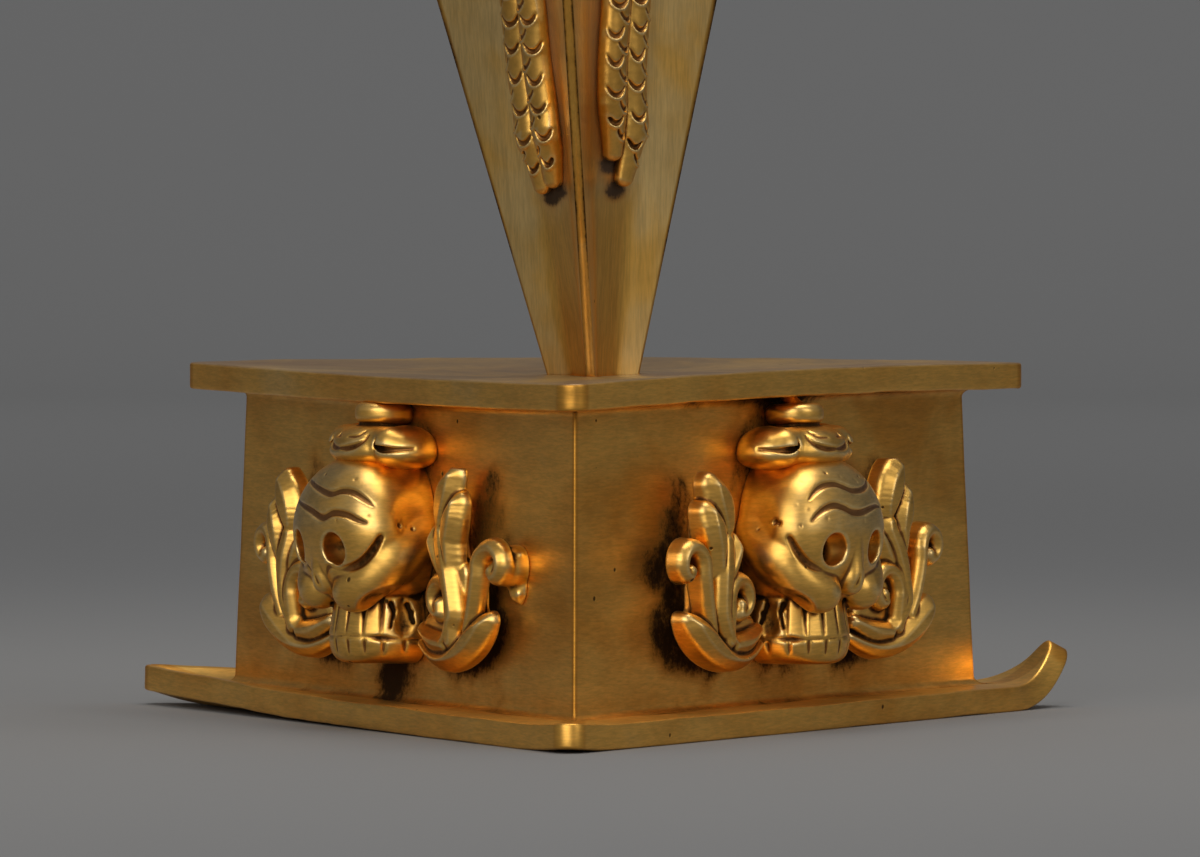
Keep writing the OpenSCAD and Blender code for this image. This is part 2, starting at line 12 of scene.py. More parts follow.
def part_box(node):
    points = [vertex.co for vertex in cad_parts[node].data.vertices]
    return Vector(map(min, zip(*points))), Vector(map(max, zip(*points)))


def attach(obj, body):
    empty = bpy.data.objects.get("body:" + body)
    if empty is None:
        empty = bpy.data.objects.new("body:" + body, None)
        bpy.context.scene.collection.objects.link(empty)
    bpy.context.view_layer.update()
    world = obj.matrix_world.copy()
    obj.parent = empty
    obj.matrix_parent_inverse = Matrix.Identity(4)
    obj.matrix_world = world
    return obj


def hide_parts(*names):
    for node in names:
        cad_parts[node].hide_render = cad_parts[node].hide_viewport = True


bl_info = {
    "name": "Phurba and stand",
    "version": (1, 0, 0),
    "blender": (4, 5, 0),
    "location": "3D View > Sidebar > Phurba",
    "description": "Sculpts and gilds a three-finned dagger standing in its three-sided stand",
    "category": "Object",
}

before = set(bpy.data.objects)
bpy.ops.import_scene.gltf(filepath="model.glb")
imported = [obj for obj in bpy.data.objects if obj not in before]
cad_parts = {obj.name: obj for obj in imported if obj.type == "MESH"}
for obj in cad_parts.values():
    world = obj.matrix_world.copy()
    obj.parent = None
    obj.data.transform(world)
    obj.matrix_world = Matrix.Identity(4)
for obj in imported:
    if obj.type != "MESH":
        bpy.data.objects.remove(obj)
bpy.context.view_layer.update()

MM = 0.001
CORNERS = FRONT, RIGHT, LEFT = -90.0, 30.0, 150.0
WALLS = {"front_right": -30.0, "front_left": -150.0, "back": 90.0}


def node_box(node):
    """Lowest and highest corner of a CAD node, in millimetres."""
    return [Vector(corner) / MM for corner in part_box(node)]


# Stand, in millimetres
PLATE_UNDER, STAND_TOP = (corner.z for corner in node_box("top_plate"))
BASE_T = node_box("stand_wall")[0].z
WALL_H = PLATE_UNDER - BASE_T
COVE_R = 0.85
FOOT_APOTHEM = -node_box("stand_wall")[0].y / 2 - COVE_R
HEAD_APOTHEM = FOOT_APOTHEM - 0.8
WALL_T = 2.4
TILT = math.atan((FOOT_APOTHEM - HEAD_APOTHEM) / WALL_H)
BASE_CORNER_R, TOP_CORNER_R = 58.0, 52.0
PLATE_NOSE_R, WALL_NOSE_R = 1.8, 0.18
NOSE_POINTS = 13
HOLE_EDGE_R = 0.25

# Dagger, in millimetres along its own axis
LEAN = math.radians(2.7)
BLADE_SHIFT = 0.2
BLADE_CLEAR = 0.3
SEAT_DEPTH = 18.5
DISH_DEPTH = 0.7
BLADE_LEN = 84.0
SHOULDER = 74.0
FIN_SLOPE = 0.291
FIN_LEAST, FIN_WAIST = 0.8, 9.45
VALLEY_SHARE = 0.31
NAGA_TAIL = 39.0
NAGA_WAVE = (BLADE_LEN - 0.4 - NAGA_TAIL) / 13
NAGA_R, NAGA_FLAT = 1.42, 0.71
VALLEYS = {"front_right": 60.0, "front_left": -60.0, "back": 180.0}
NAGA_TAILS = {"front_right": (42.2, 39.4), "front_left": (39.0, 39.6), "back": (40.4, 39.0)}


def on_wall(side):
    """Placement on a wall: x runs to the right as one faces it, z up it and -y out of it."""
    return (
        Matrix.Rotation(math.radians(side + 90), 4, "Z")
        @ Matrix.Translation((0, -FOOT_APOTHEM, BASE_T))
        @ Matrix.Rotation(-TILT, 4, "X")
    )


def on_dagger():
    """Placement on the dagger: z runs up its axis from the tip of the blade."""
    return (
        Matrix.Translation((-BLADE_SHIFT, 0, STAND_TOP - DISH_DEPTH))
        @ Matrix.Rotation(-LEAN, 4, "Y")
        @ Matrix.Translation((0, 0, -SEAT_DEPTH))
    )


# Meshes


def moved(points, matrix):
    """Rows of points under a 4x4 matrix."""
    m = np.array(matrix)
    return points @ m[:3, :3].T + m[:3, 3]


def make_mesh(name, points, quads, tris=(), matrix=None, marks=None):
    """Object of smooth faces from points in millimetres. marks holds a value per point and name."""
    points = moved(np.asarray(points, float), matrix or Matrix())
    quads = np.asarray(quads, int).reshape(-1, 4)
    tris = np.asarray(tris, int).reshape(-1, 3)
    mesh = bpy.data.meshes.new(name)
    mesh.vertices.add(len(points))
    mesh.vertices.foreach_set("co", (points * MM).astype(np.float32).ravel())
    corners = np.concatenate([quads.ravel(), tris.ravel()])
    starts = np.concatenate([4 * np.arange(len(quads)), 4 * len(quads) + 3 * np.arange(len(tris))])
    mesh.loops.add(len(corners))
    mesh.loops.foreach_set("vertex_index", corners.astype(np.int32))
    mesh.polygons.add(len(starts))
    mesh.polygons.foreach_set("loop_start", starts.astype(np.int32))
    mesh.polygons.foreach_set("use_smooth", np.ones(len(starts), bool))
    mesh.update(calc_edges=True)
    mesh.validate()
    for mark, values in (marks or {}).items():
        layer = mesh.attributes.new(mark, "FLOAT", "POINT")
        layer.data.foreach_set("value", np.asarray(values, np.float32))
    thing = bpy.data.objects.new(name, mesh)
    bpy.context.scene.collection.objects.link(thing)
    return thing


def loft(rings, closed=True, tube=False):
    """Points and quads of a skin over rings of as many points each. tube joins the last ring to the first."""
    n = len(rings[0])
    here = np.arange(n if closed else n - 1)
    after = (here + 1) % n
    levels = [k * n for k in range(len(rings))] + ([0] if tube else [])
    quads = [np.stack([a + here, a + after, b + after, b + here], axis=1) for a, b in zip(levels[:-1], levels[1:])]
    return np.concatenate(rings), np.concatenate(quads)


def capped(rings, bottom, top):
    """Points, quads and triangles of a skin over rings, closed by a fan round a point at each end."""
    pts, quads = loft(rings)
    n, count = len(rings[0]), len(pts)
    here, after = np.arange(n), (np.arange(n) + 1) % n
    tris = np.concatenate([np.stack([np.full(n, count), after, here], axis=1),
                           np.stack([np.full(n, count + 1), count - n + here, count - n + after], axis=1)])
    return np.concatenate([pts, [bottom, top]]), quads, tris


def toward(degrees):
    """Unit vector of x and y in a direction."""
    a = math.radians(degrees)
    return np.array([math.cos(a), math.sin(a)])


def around(rows, degrees):
    """Rows that start with x and y, turned about the z axis by an angle."""
    rows = np.array(rows, float)
    c, s = toward(degrees)
    x, y = rows[:, 0].copy(), rows[:, 1].copy()
    rows[:, 0], rows[:, 1] = x * c - y * s, x * s + y * c
    return rows


def ramp(values, low, high):
    """Even rise from 0 at low to 1 at high, which may be the lower of the two, and flat beyond them."""
    return np.clip((values - low) / (high - low), 0, 1)


def bumps(points, size, seed):
    """Smooth random heights between about -1 and 1, from sums of waves in many directions."""
    draw = np.random.default_rng(seed)
    total = np.zeros(len(points))
    for octave in range(3):
        for _ in range(5):
            way = draw.normal(size=3)
            way *= 2 * math.pi * 2**octave / (size * np.linalg.norm(way)) * draw.uniform(0.7, 1.3)
            total += np.sin(points @ way + draw.uniform(0, 2 * math.pi)) / 2**octave
    return total / 3.5


def smooth_path(points, steps):
    """Smooth curve through rows of numbers, with the given number of steps between two of them."""
    p = np.asarray(points, float)
    p = np.concatenate([[2 * p[0] - p[1]], p, [2 * p[-1] - p[-2]]])
    t = (np.arange(steps) / steps)[:, None]
    rows = [0.5 * (2 * b + (c - a) * t + (2 * a - 5 * b + 4 * c - d) * t**2 + (3 * b - a - 3 * c + d) * t**3)
            for a, b, c, d in zip(p, p[1:], p[2:], p[3:])]
    return np.concatenate([*rows, p[-2:-1]])


def melt(a, b, k):
    """The lower of two distances, run together over a width k."""
    h = np.maximum(k - np.abs(a - b), 0) / k
    return np.minimum(a, b) - h * h * k / 4


def boxy(p, q, power):
    """Distance of (p, q) from the middle, even along a circle that is squared by a power above 2."""
    return (np.abs(p) ** power + np.abs(q) ** power) ** (1 / power)


def both(rows):
    """Rows and their mirror image across x = 0."""
    rows = np.asarray(rows, float)
    return rows, np.column_stack([-rows[:, 0], rows[:, 1:]])


class Clay:
    """A block of wax on an even grid, worked as a signed distance in millimetres."""

    FAR = 3.0

    def __init__(self, low, high, step):
        self.low = np.asarray(low, float)
        self.step = step
        self.count = np.ceil((np.asarray(high, float) - self.low) / step).astype(int) + 1
        self.axes = [(self.low[k] + step * np.arange(self.count[k])).astype(np.float32) for k in range(3)]
        self.field = np.full(self.count, self.FAR, np.float32)

    def work(self, low, high, distance, blend=0.3, cut=False):
        """Adds or cuts away the shape whose distance is given as a function of x, y and z."""
        margin = 0.5 * blend + 2 * self.step
        spans = []
        for a, b, start, count in zip(low, high, self.low, self.count):
            first = int(np.clip(math.floor((a - margin - start) / self.step), 0, count - 1))
            last = int(np.clip(math.ceil((b + margin - start) / self.step) + 1, first + 1, count))
            spans.append(slice(first, last))
        spans = tuple(spans)
        shape = distance(*np.ix_(*(axis[span] for axis, span in zip(self.axes, spans))))
        part = self.field[spans]
        self.field[spans] = -melt(-part, shape, blend) if cut else melt(part, shape, blend)

    def egg(self, centre, radii, blend=0.3, cut=False):
        """Ellipsoid, or a ball where radii is a number."""
        c, r = np.asarray(centre, float), np.ones(3) * radii

        def distance(*grid):
            p = [q - middle for q, middle in zip(grid, c)]
            near = np.sqrt(sum((q / a) ** 2 for q, a in zip(p, r)))
            steep = np.sqrt(sum((q / a**2) ** 2 for q, a in zip(p, r)))
            return near * (near - 1) / np.maximum(steep, 1e-4)

        self.work(c - r, c + r, distance, blend, cut)

    def cord(self, points, blend=0.3, cut=False, flat=(1.0, 1.0, 1.0)):
        """Round strand through rows of x, y, z and radius. flat squeezes it along each axis."""
        for a, b in zip(points[:-1], points[1:]):
            low = [min(a[k], b[k]) - max(a[3], b[3]) / flat[k] for k in range(3)]
            high = [max(a[k], b[k]) + max(a[3], b[3]) / flat[k] for k in range(3)]
            way = [(b[k] - a[k]) * flat[k] for k in range(3)]
            length2 = max(sum(w * w for w in way), 1e-6)

            def distance(*grid, a=a, b=b, way=way, length2=length2):
                p = [(q - a[k]) * flat[k] for k, q in enumerate(grid)]
                t = np.clip(sum(q * w for q, w in zip(p, way)) / length2, 0, 1)
                off = sum((q - t * w) ** 2 for q, w in zip(p, way))
                return np.sqrt(off) - (a[3] + (b[3] - a[3]) * t)

            self.work(low, high, distance, blend, cut)

    def eggs(self, centre, *shape, **options):
        """An ellipsoid and its mirror image across the middle."""
        for (middle,) in both([centre]):
            self.egg(middle, *shape, **options)

    def cords(self, points, *shape, **options):
        """A strand and its mirror image across the middle."""
        for side in both(points):
            self.cord(side, *shape, **options)

    def strand(self, rows, steps, turn, blend, cut=False):
        """Smooth strand through rows turned about the axis, with a number of steps between two of them."""
        self.cord(around(smooth_path(rows, steps), turn), blend, cut)

    def trim(self, low, high=math.inf, back=math.inf):
        """Cuts the block off at its lowest and highest level, and at a level of y behind it."""
        _, y, z = np.ix_(*self.axes)
        edge = np.maximum(y - back, np.maximum(low - z, z - high))
        self.field = np.maximum(self.field, edge).astype(np.float32)
        return self

    def sample(self, field, cells):
        """Value of a field at points given in cells."""
        base = np.clip(np.floor(cells).astype(int), 0, self.count - 2)
        t = cells - base
        total = np.zeros(len(cells))
        for step in np.ndindex(2, 2, 2):
            share = np.prod(np.where(step, t, 1 - t), axis=1)
            total += share * field[tuple((base + step).T)]
        return total

    def cast(self, name, matrix, grime=None):
        """Mesh of the worked block, with marks for its hollows: thin cuts and wide recesses."""
        solid = soften(self.field, (1,))
        inside = (solid < 0).astype(np.int8)
        walls = sum(np.roll(inside, way, axis) for axis in range(3) for way in (-1, 1))
        solid[(walls >= 5) & (solid >= 0) & (solid < 0.4 * self.step)] = -0.02 * self.step
        grid = openvdb.FloatGrid(self.FAR)
        grid.copyFromArray(solid)
        cells, quads = grid.convertToQuads(0.0)
        cells = cells.astype(float)
        thin = -self.sample(soften(solid, (1, 1, 2)), cells) / (0.5 * self.step)
        wide = -self.sample(soften(solid, (1, 2, 4, 4)), cells) / (2 * self.step)
        points = self.low + self.step * cells
        dark = grime(points) if grime else np.zeros(len(points))
        marks = {"thin_hollow": np.clip(thin, -1, 1), "wide_hollow": np.clip(wide, -1, 1), "grime": dark,
                 "worn": np.clip(1.4 * dark, -1, 0)}
        return make_mesh(name, points, quads, matrix=matrix, marks=marks)


def soften(field, strides):
    """Blurs a field with a 1-2-1 kernel at each stride along each axis."""
    for stride in strides:
        for axis in range(3):
            f = np.moveaxis(field, axis, 0)
            g = f.copy()
            g[stride:-stride] = (f[: -2 * stride] + 2 * f[stride:-stride] + f[2 * stride :]) / 4
            field = np.moveaxis(g, 0, axis)
    return np.ascontiguousarray(field)


# Stand


def nose_outline(corner_r, nose_r, per_side):
    """Three-cornered outline with round noses, as rows of x and y, counter-clockwise from the front."""
    rows = []
    for corner in CORNERS:
        centre, end = (corner_r - nose_r) * toward(corner), (corner_r - nose_r) * toward(corner + 120)
        rows += [centre + nose_r * toward(corner + t) for t in np.linspace(-60, 60, NOSE_POINTS)]
        side = centre + nose_r * toward(corner + 60)
        rows += [side + t * (end - centre) for t in np.arange(1, per_side) / per_side]
    return np.array(rows)


def at_corner(count, n):
    """1 for the points on a round nose of lofted outlines of n points each, 0 for the others."""
    return 1.0 * (np.arange(count) % n % (n // 3) < NOSE_POINTS)


def outward(loop):
    """Unit normals of a counter-clockwise loop of x and y."""
    way = np.roll(loop, -1, axis=0) - np.roll(loop, 1, axis=0)
    way /= np.linalg.norm(way, axis=1)[:, None]
    return np.stack([way[:, 1], -way[:, 0]], axis=1)


def top_sag(xy):
    """Height of the beaten top plate above its even level."""
    f, r, l = (np.clip((2 * (xy @ toward(corner)) / TOP_CORNER_R + 1) / 3, 0, 1) for corner in CORNERS)
    return 4 * (0.45 * f * r - 0.3 * f * l + 0.5 * r * l) - 26 * f * r * l


def outside_wall(xy):
    """How far points lie outside the foot of the wall."""
    return np.max([xy @ toward(side) for side in WALLS.values()], axis=0) - FOOT_APOTHEM - COVE_R


def base_lift(xy):
    """Height and slope of the base plate's underside above the table, with the slope's direction."""
    height = np.zeros(len(xy))
    tilt = np.zeros((len(xy), 2))
    for corner, start, bend_r in ((RIGHT, 48.2, 10.95), (FRONT, 48.6, 100.0)):
        along = np.clip(xy @ toward(corner) - start, 0, 0.95 * bend_r)
        drop = np.sqrt(bend_r**2 - along**2)
        height += bend_r - drop
        tilt += (along / drop)[:, None] * toward(corner)
    rise = np.interp(xy @ toward(LEFT), [-10, 10, 26.7, 37, 48.4, 58], [0, 0.18, 0.32, 0.74, 1.13, 1.6])
    return height + rise * ramp(outside_wall(xy), 0, 4.9) ** 1.5, tilt


def beaten_plate(outer, inner, low, thickness, lift, seed):
    """Plate between an outer loop and an inner loop, or closed in the middle where inner is None."""
    normal = outward(outer)
    edge_r = settings().edge
    hub = np.zeros_like(outer) if inner is None else inner
    start = outer - edge_r * normal
    shares = np.concatenate([np.linspace(0.02, 0.5, 18), np.linspace(0.53, 0.985, 26)])
    face = [hub + t * (start - hub) for t in shares]
    rim = [(outer - edge_r * (1 - math.sin(q)) * normal, edge_r * (1 - math.cos(q)))
           for q in np.radians(np.linspace(0, 90, 5))]
    stack = [(xy, 0.0) for xy in face] + rim
    stack += [(outer, edge_r + t * (thickness - 2 * edge_r)) for t in (0.25, 0.5, 0.75)]
    stack += [(xy, thickness - up) for xy, up in rim[::-1]] + [(xy, thickness) for xy in face[::-1]]
    if inner is not None:
        back = inner + HOLE_EDGE_R * outward(inner)
        stack = [(inner, HOLE_EDGE_R), (back, 0.0), *stack, (back, thickness), (inner, thickness - HOLE_EDGE_R)]
    rings = []
    for xy, up in stack:
        height, tilt = lift(xy)
        level = np.sqrt(1 + (tilt**2).sum(axis=1))
        rings.append(np.column_stack([xy - tilt * (up / level)[:, None], low + height + up / level]))
    if inner is None:
        pts, quads, tris = capped(rings, rings[0].mean(axis=0), rings[-1].mean(axis=0))
    else:
        (pts, quads), tris = loft(rings, tube=True), ()
    edge = 1 - np.clip(np.abs(pts[:, 2] - low - thickness / 2) / thickness, 0, 1)
    pts[:, :2] += (0.10 * bumps(pts, 23.0, seed) * edge)[:, None] * unit_rows(pts[:, :2])
    pts[:, 2] += 0.05 * bumps(pts, 14.0, seed + 1)
    return pts, quads, tris


def unit_rows(v):
    """Rows of v as vectors of length 1."""
    return v / np.maximum(np.linalg.norm(v, axis=1), 1e-6)[:, None]


def fin_radius(s):
    """Reach of the blade's fins at a height above the tip."""
    s = np.asarray(s, float)
    top = FIN_SLOPE * SHOULDER
    waisted = top - (top - FIN_WAIST) * ramp(s, SHOULDER, BLADE_LEN) ** 1.8
    return np.where(s < SHOULDER, np.maximum(FIN_SLOPE * s, FIN_LEAST), waisted)


def blade_outline(s, grow=0.0, fine=5):
    """Cross-section of the blade at a height above the tip, as rows of x and y."""
    r = float(fin_radius(s))
    half_land = min(1.0, r / 4) / 2
    half = [(r, half_land), (0.78 * r, 0.5 * half_land + 0.052 * r), (0.52 * r, 0.104 * r), (0.40 * r, 0.135 * r),
            (0.297 * r, 0.187 * r), (0.21 * r, 0.235 * r), VALLEY_SHARE * r * toward(60)]
    flank = smooth_path(half, fine)
    fin = np.concatenate([[(r, 0.0)], flank, around(flank[-2::-1] * (1, -1), 120)])
    loop = np.concatenate([around(fin, FRONT + 120 * k) for k in range(3)])
    return loop + grow * outward(loop) if grow else loop


# Ornaments. Points are x to the right, y out of the wall with a minus sign, and z up the wall.


SKULL_LEVEL, SKULL_RISE, SKULL_POWER = 18.0, 8.1, 2.6
JAW_WIDE, JAW_DEEP, JAW_BACK = 6.3, 6.1, 1.6


def brow_depth(u, v, proud=0.0):
    """How far the forehead stands out of the wall."""
    level = np.maximum(1 - ((v - SKULL_LEVEL) / SKULL_RISE) ** 2, 0.02) ** 1.3
    return 4.5 + (5.7 + proud) * np.maximum(level - np.abs(u / 9.3) ** SKULL_POWER, 0.01) ** (1 / SKULL_POWER)


# Brow lines as seen from the front: distance to the right and height above the base plate.
BROWS_A = (
    [(-6.84, 21.56), (-5.71, 22.44), (-4.24, 23.05), (-2.44, 23.14), (-1.15, 22.79), (0.4, 22.35), (2.63, 22.44),
     (4.5, 22.9), (5.2, 23.3)],
    [(-7.25, 19.29), (-6.29, 20.08), (-5.02, 20.69), (-3.68, 20.9), (-2.34, 20.6), (-0.85, 20.08), (1.09, 19.99),
     (3.0, 20.3), (4.46, 20.52), (5.8, 20.4)],
)
BROWS_B = (
    [(-4.73, 23.24), (-2.6, 22.85), (0.31, 22.28), (2.57, 22.0), (4.2, 22.38), (5.77, 22.28), (7.15, 21.62),
     (8.1, 20.9)],
    [(-5.49, 20.95), (-3.2, 20.55), (-0.77, 20.09), (2.11, 19.43), (4.02, 20.0), (5.93, 19.9), (7.19, 19.43),
     (8.2, 19.05)],
)


def jaw_taper(z):
    """Size of the jaw at a height, as a share of its largest."""
    return 1.0 - 0.035 * np.maximum(6.4 - z, 0) - 0.022 * np.maximum(z - 7.0, 0)


def jaw_side(degrees, z, out=0.0):
    """Point on the face of the teeth at an angle round them and a height."""
    way, taper = toward(degrees - 90), jaw_taper(z)
    return (JAW_WIDE * taper + out) * way[0], (JAW_DEEP * taper + out) * way[1] - JAW_BACK, z


def skull_grime(pts):
    """Dark residue between the teeth and near the wall, hardly any on the forehead."""
    u, w, v = np.abs(pts[:, 0]), -pts[:, 1], pts[:, 2]
    forehead = ramp(v, 17.2, 18.7) * ramp(w, 5.5, 7.5)
    eyes = np.exp(-(((u - 4.0) / 1.7) ** 2) - ((v - 16.2) / 1.6) ** 2) * ramp(w, 9.2, 8.0)
    mouth = ramp(v, 12.3, 11.5) * (0.16 + 0.5 * ramp(u, 5.0, 6.2) * ramp(v, 7.2, 8.2))
    # The forehead's negative grime gives it the pale rubbed tone: wear, and partly a painted highlight.
    return 0.8 * eyes + mouth + 0.75 * ramp(w, 2.2, 0) - 0.34 * forehead - 0.12


def sculpt_skull(brows, proud, seed):
    """Skull with a forehead that stands prouder than the plain one by the given length."""
    clay = Clay((-10.4, -11.4, 3.0), (10.4, 0.5, 26.4), 0.134)

    def head(x, y, z):
        plan = boxy(x / 9.35, (y + 4.5) / (5.8 + proud), SKULL_POWER)
        return (np.sqrt(plan**2 + ((z - SKULL_LEVEL) / SKULL_RISE) ** 2) - 1) * 6.0

    clay.work((-9.5, -11.1, 9.8), (9.5, 1.0, 26.2), head)
    clay.egg((0, -1.4, 19.0), (7.9, 4.6, 8.2), 0.9)
    clay.eggs((-11.5, -3.0, 20.6), (2.7, 2.4, 4.6), 1.4, cut=True)
    clay.eggs((-5.2, -1.7, 15.2), (2.45, 3.0, 3.9), 0.8)
    cheekbone = smooth_path([(-6.6, -1.2, 18.0, 2.0), (-6.9, -2.8, 16.9, 2.2), (-7.1, -4.2, 15.7, 2.3),
                             (-6.9, -5.4, 14.5, 2.35), (-6.3, -6.3, 13.3, 2.35), (-5.3, -7.0, 12.3, 2.3),
                             (-4.2, -7.5, 11.8, 2.15), (-3.6, -7.6, 11.75, 2.05)], 2)
    clay.cords(cheekbone[:7], 0.9)
    clay.cords(cheekbone[6:], 0.35)
    clay.eggs((-9.6, -4.4, 8.9), (5.2, 6.0, 3.7), 0.15, cut=True)

    def jaw(x, y, z):
        near = np.sqrt((x / JAW_WIDE) ** 2 + ((y + JAW_BACK) / JAW_DEEP) ** 2)
        ends = np.maximum(z - 12.0, 4.0 + 0.014 * x**2 - z)
        return -melt((jaw_taper(z) - near) * JAW_DEEP, -ends, 1.5)

    clay.work((-7, -8.6, 3.2), (7, 1, 12.5), jaw, 0.3)
    cheek_line = [(-8.9, -7.0, 17.6, 0.3), (-8.3, -7.7, 16.1, 0.42), (-7.3, -8.4, 14.9, 0.45), (-5.8, -9.2, 14.2, 0.42),
                  (-4.2, -9.8, 13.95, 0.38), (-2.7, -10.1, 14.2, 0.36), (-1.8, -10.0, 13.3, 0.38),
                  (-1.85, -9.7, 12.0, 0.4), (-1.25, -9.7, 11.3, 0.42), (-0.2, -9.6, 11.0, 0.3)]
    clay.cords(smooth_path(cheek_line, 4), 0.12, cut=True)
    nose = [(0, -9.2, 17.6, 0.85), (0, -9.3, 15.2, 0.95), (0, -9.15, 13.4, 1.2), (0, -8.9, 12.6, 1.3)]
    clay.cord(smooth_path(nose, 3), 0.4)
    clay.cords([(-0.25, -10.5, 13.4, 0.14), (-0.6, -10.35, 12.5, 0.28), (-1.0, -10.0, 11.7, 0.26)], 0.08, cut=True)
    for (socket,) in both([(-3.95, -9.6, 16.25)]):
        clay.egg(socket, (1.85, 2.7, 1.72), 0.3, cut=True)
        clay.egg(socket + (0.1, 2.4, -0.05), (1.35, 2.0, 1.3), 0.3, cut=True)
    for brow in brows:
        u, v = smooth_path(brow, 5).T
        thin = np.abs(np.linspace(-1, 1, len(u))) ** 3
        clay.cord(np.column_stack([u, -brow_depth(u, v, proud) - 0.12, v, 0.42 - 0.26 * thin]), 0.05, cut=True)
    for low, high, shift, wide in ((3.95, 6.45, 1.5, 0.21), (7.15, 10.9, -1.0, 0.25)):
        for degrees in (-84, -62, -42, -22, -2, 18, 38, 58, 80):
            rows = [(*jaw_side(degrees + shift, z, 0.05), r)
                    for z, r in ((low, 0.7 * wide), (0.5 * (low + high), wide), (high, 1.25 * wide))]
            clay.cord(rows, 0.05, cut=True)
    gap = [(*jaw_side(degrees, 6.85 + 0.12 * math.sin(math.radians(3 * degrees)), 0.04),
            0.17 + 0.2 * math.exp(-(((abs(degrees) - 58) / 9) ** 2))) for degrees in np.linspace(-96, 96, 41)]
    clay.cord(gap, 0.05, cut=True)
    for side in (-1, 1):
        clay.egg(jaw_side(side * 80, 9.2, 0.5), (1.1, 1.3, 2.0), 0.5, cut=True)
        for degrees, low, lean, r in ((66, 7.9, 5, 0.24), (74, 8.6, -8, 0.3), (84, 7.7, 6, 0.26), (92, 8.5, -7, 0.3)):
            clay.cord([(*jaw_side(side * degrees, low, -0.25), 0.6 * r),
                       (*jaw_side(side * (degrees + lean), low + 1.9, -0.25), r)], 0.08, cut=True)
    draw = np.random.default_rng(seed)
    for _ in range(16):
        u, v = draw.uniform(-8.6, 8.6), draw.uniform(18.5, 24.5)
        clay.egg((u, -brow_depth(u, v, proud), v), draw.uniform(0.09, 0.19), 0.06, cut=True)
    for side in (-1, 1):
        for _ in range(12):
            v, w = draw.uniform(18.0, 22.5), draw.uniform(3.0, 6.4)
            clay.egg((side * (9.0 - 0.02 * (v - 20) ** 2), -w, v), draw.uniform(0.12, 0.26), 0.15, cut=True)
    return clay.trim(3.2, 25.45, back=0.0)


# Cushions of the hair: middle, radii and turn. They are broadest at one level and swell above and below it.
CUSHIONS = (((0, -3.7), (5.5, 4.1), 0.0), ((-5.2, -2.3), (3.3, 3.4), 18.0), ((5.2, -2.3), (3.3, 3.4), -18.0))
HAIR_LEVEL, HAIR_RISE, HAIR_DROP, HAIR_POWER = 26.4, 2.9, 1.8, 2.3

# Crescents cut into a cushion on both sides of the hair: degrees round it, height and radius.
CRESCENTS = (
    (0, [(-139, 28.2, 0.1), (-134, 27.75, 0.2), (-127, 27.35, 0.3), (-117, 27.0, 0.38), (-104, 26.75, 0.34),
         (-90, 26.7, 0.2)]),
    (1, [(-90, 28.2, 0.1), (-94, 27.75, 0.2), (-100, 27.35, 0.3), (-109, 27.0, 0.38), (-128, 26.75, 0.36),
         (-160, 26.8, 0.26), (-185, 26.95, 0.16)]),
    (0, [(-132, 28.6, 0.12), (-118, 28.1, 0.26), (-100, 27.95, 0.12)]),
)


def cushion_line(cushion, rows):
    """Smooth path over a cushion, from rows of degrees round it, height and radius."""
    middle, radii, turn = cushion
    degrees, z, r = smooth_path(rows, 5).T
    rise = (z - HAIR_LEVEL) / np.where(z > HAIR_LEVEL, HAIR_RISE, HAIR_DROP)
    c, s = np.cos(np.radians(degrees)), np.sin(np.radians(degrees))
    reach = np.sqrt(1 - rise**2) / boxy(c, s, HAIR_POWER)
    return around(np.column_stack([radii[0] * reach * c, radii[1] * reach * s, z, r]), turn) + (*middle, 0, 0)


def hair_grime(pts):
    """Dark residue of the hair near the wall and a little in its seams."""
    seam = np.exp(-(((np.abs(pts[:, 0]) - 5.0) / 0.7) ** 2)) * ramp(-pts[:, 1], 4.2, 5.2)
    return 0.1 * seam + 0.7 * ramp(pts[:, 1], -2.0, 0) - 0.1


def sculpt_topknot():
    """Hair above a skull: three cushions with cut crescents, and a knob on top."""
    clay = Clay((-9.3, -8.9, 24.0), (9.3, 0.6, 32.9), 0.12)
    for (x0, y0), radii, turn in CUSHIONS:
        c, s = toward(turn)

        def lobe(x, y, z, x0=x0, y0=y0, radii=radii, c=c, s=s):
            p, q = (x - x0) * c + (y - y0) * s, (y - y0) * c - (x - x0) * s
            near = boxy(p / radii[0], q / radii[1], HAIR_POWER)
            half = np.where(z > HAIR_LEVEL, HAIR_RISE, HAIR_DROP)
            rise = (z - HAIR_LEVEL) / half
            size = np.sqrt(near**2 + rise**2)
            steep = np.sqrt((near / radii[1]) ** 2 + (rise / half) ** 2)
            return size * (size - 1) / np.maximum(steep, 1e-3)

        clay.work((-9, -8.3, 24.5), (9, 1, 29.4), lobe, 0.12)
    clay.cord([(-5.2, -4.1, 27.0, 2.1), (5.2, -4.1, 27.0, 2.1)], 0.3)
    clay.cord([(0, -2.6, 27.0, 2.9), (0, -2.5, 29.4, 2.4)], 0.4)
    clay.cord([(0, -2.2, 31.2, 1.1), (0, -1.6, 32.4, 0.75)], 0.3)

    def knob(x, y, z):
        off = np.sqrt(x**2 + (y + 2.5) ** 2) - 2.2
        up = np.abs(z - 30.42) - 0.2
        return np.sqrt(np.maximum(off, 0) ** 2 + np.maximum(up, 0) ** 2) + np.minimum(np.maximum(off, up), 0) - 0.9

    clay.work((-3.3, -5.8, 28.9), (3.3, 0.8, 31.9), knob, 0.12)
    for cushion, crescent in CRESCENTS:
        clay.cords(cushion_line(CUSHIONS[cushion], crescent), 0.06, cut=True)
    seam = [(-4.95, -5.9, 27.8, 0.12), (-5.0, -6.2, 27.1, 0.2), (-5.0, -6.3, 26.3, 0.24), (-4.9, -5.9, 25.1, 0.34)]
    clay.cords(smooth_path(seam, 4), 0.08, cut=True)
    return clay.trim(24.4, 32.4, back=0.0)


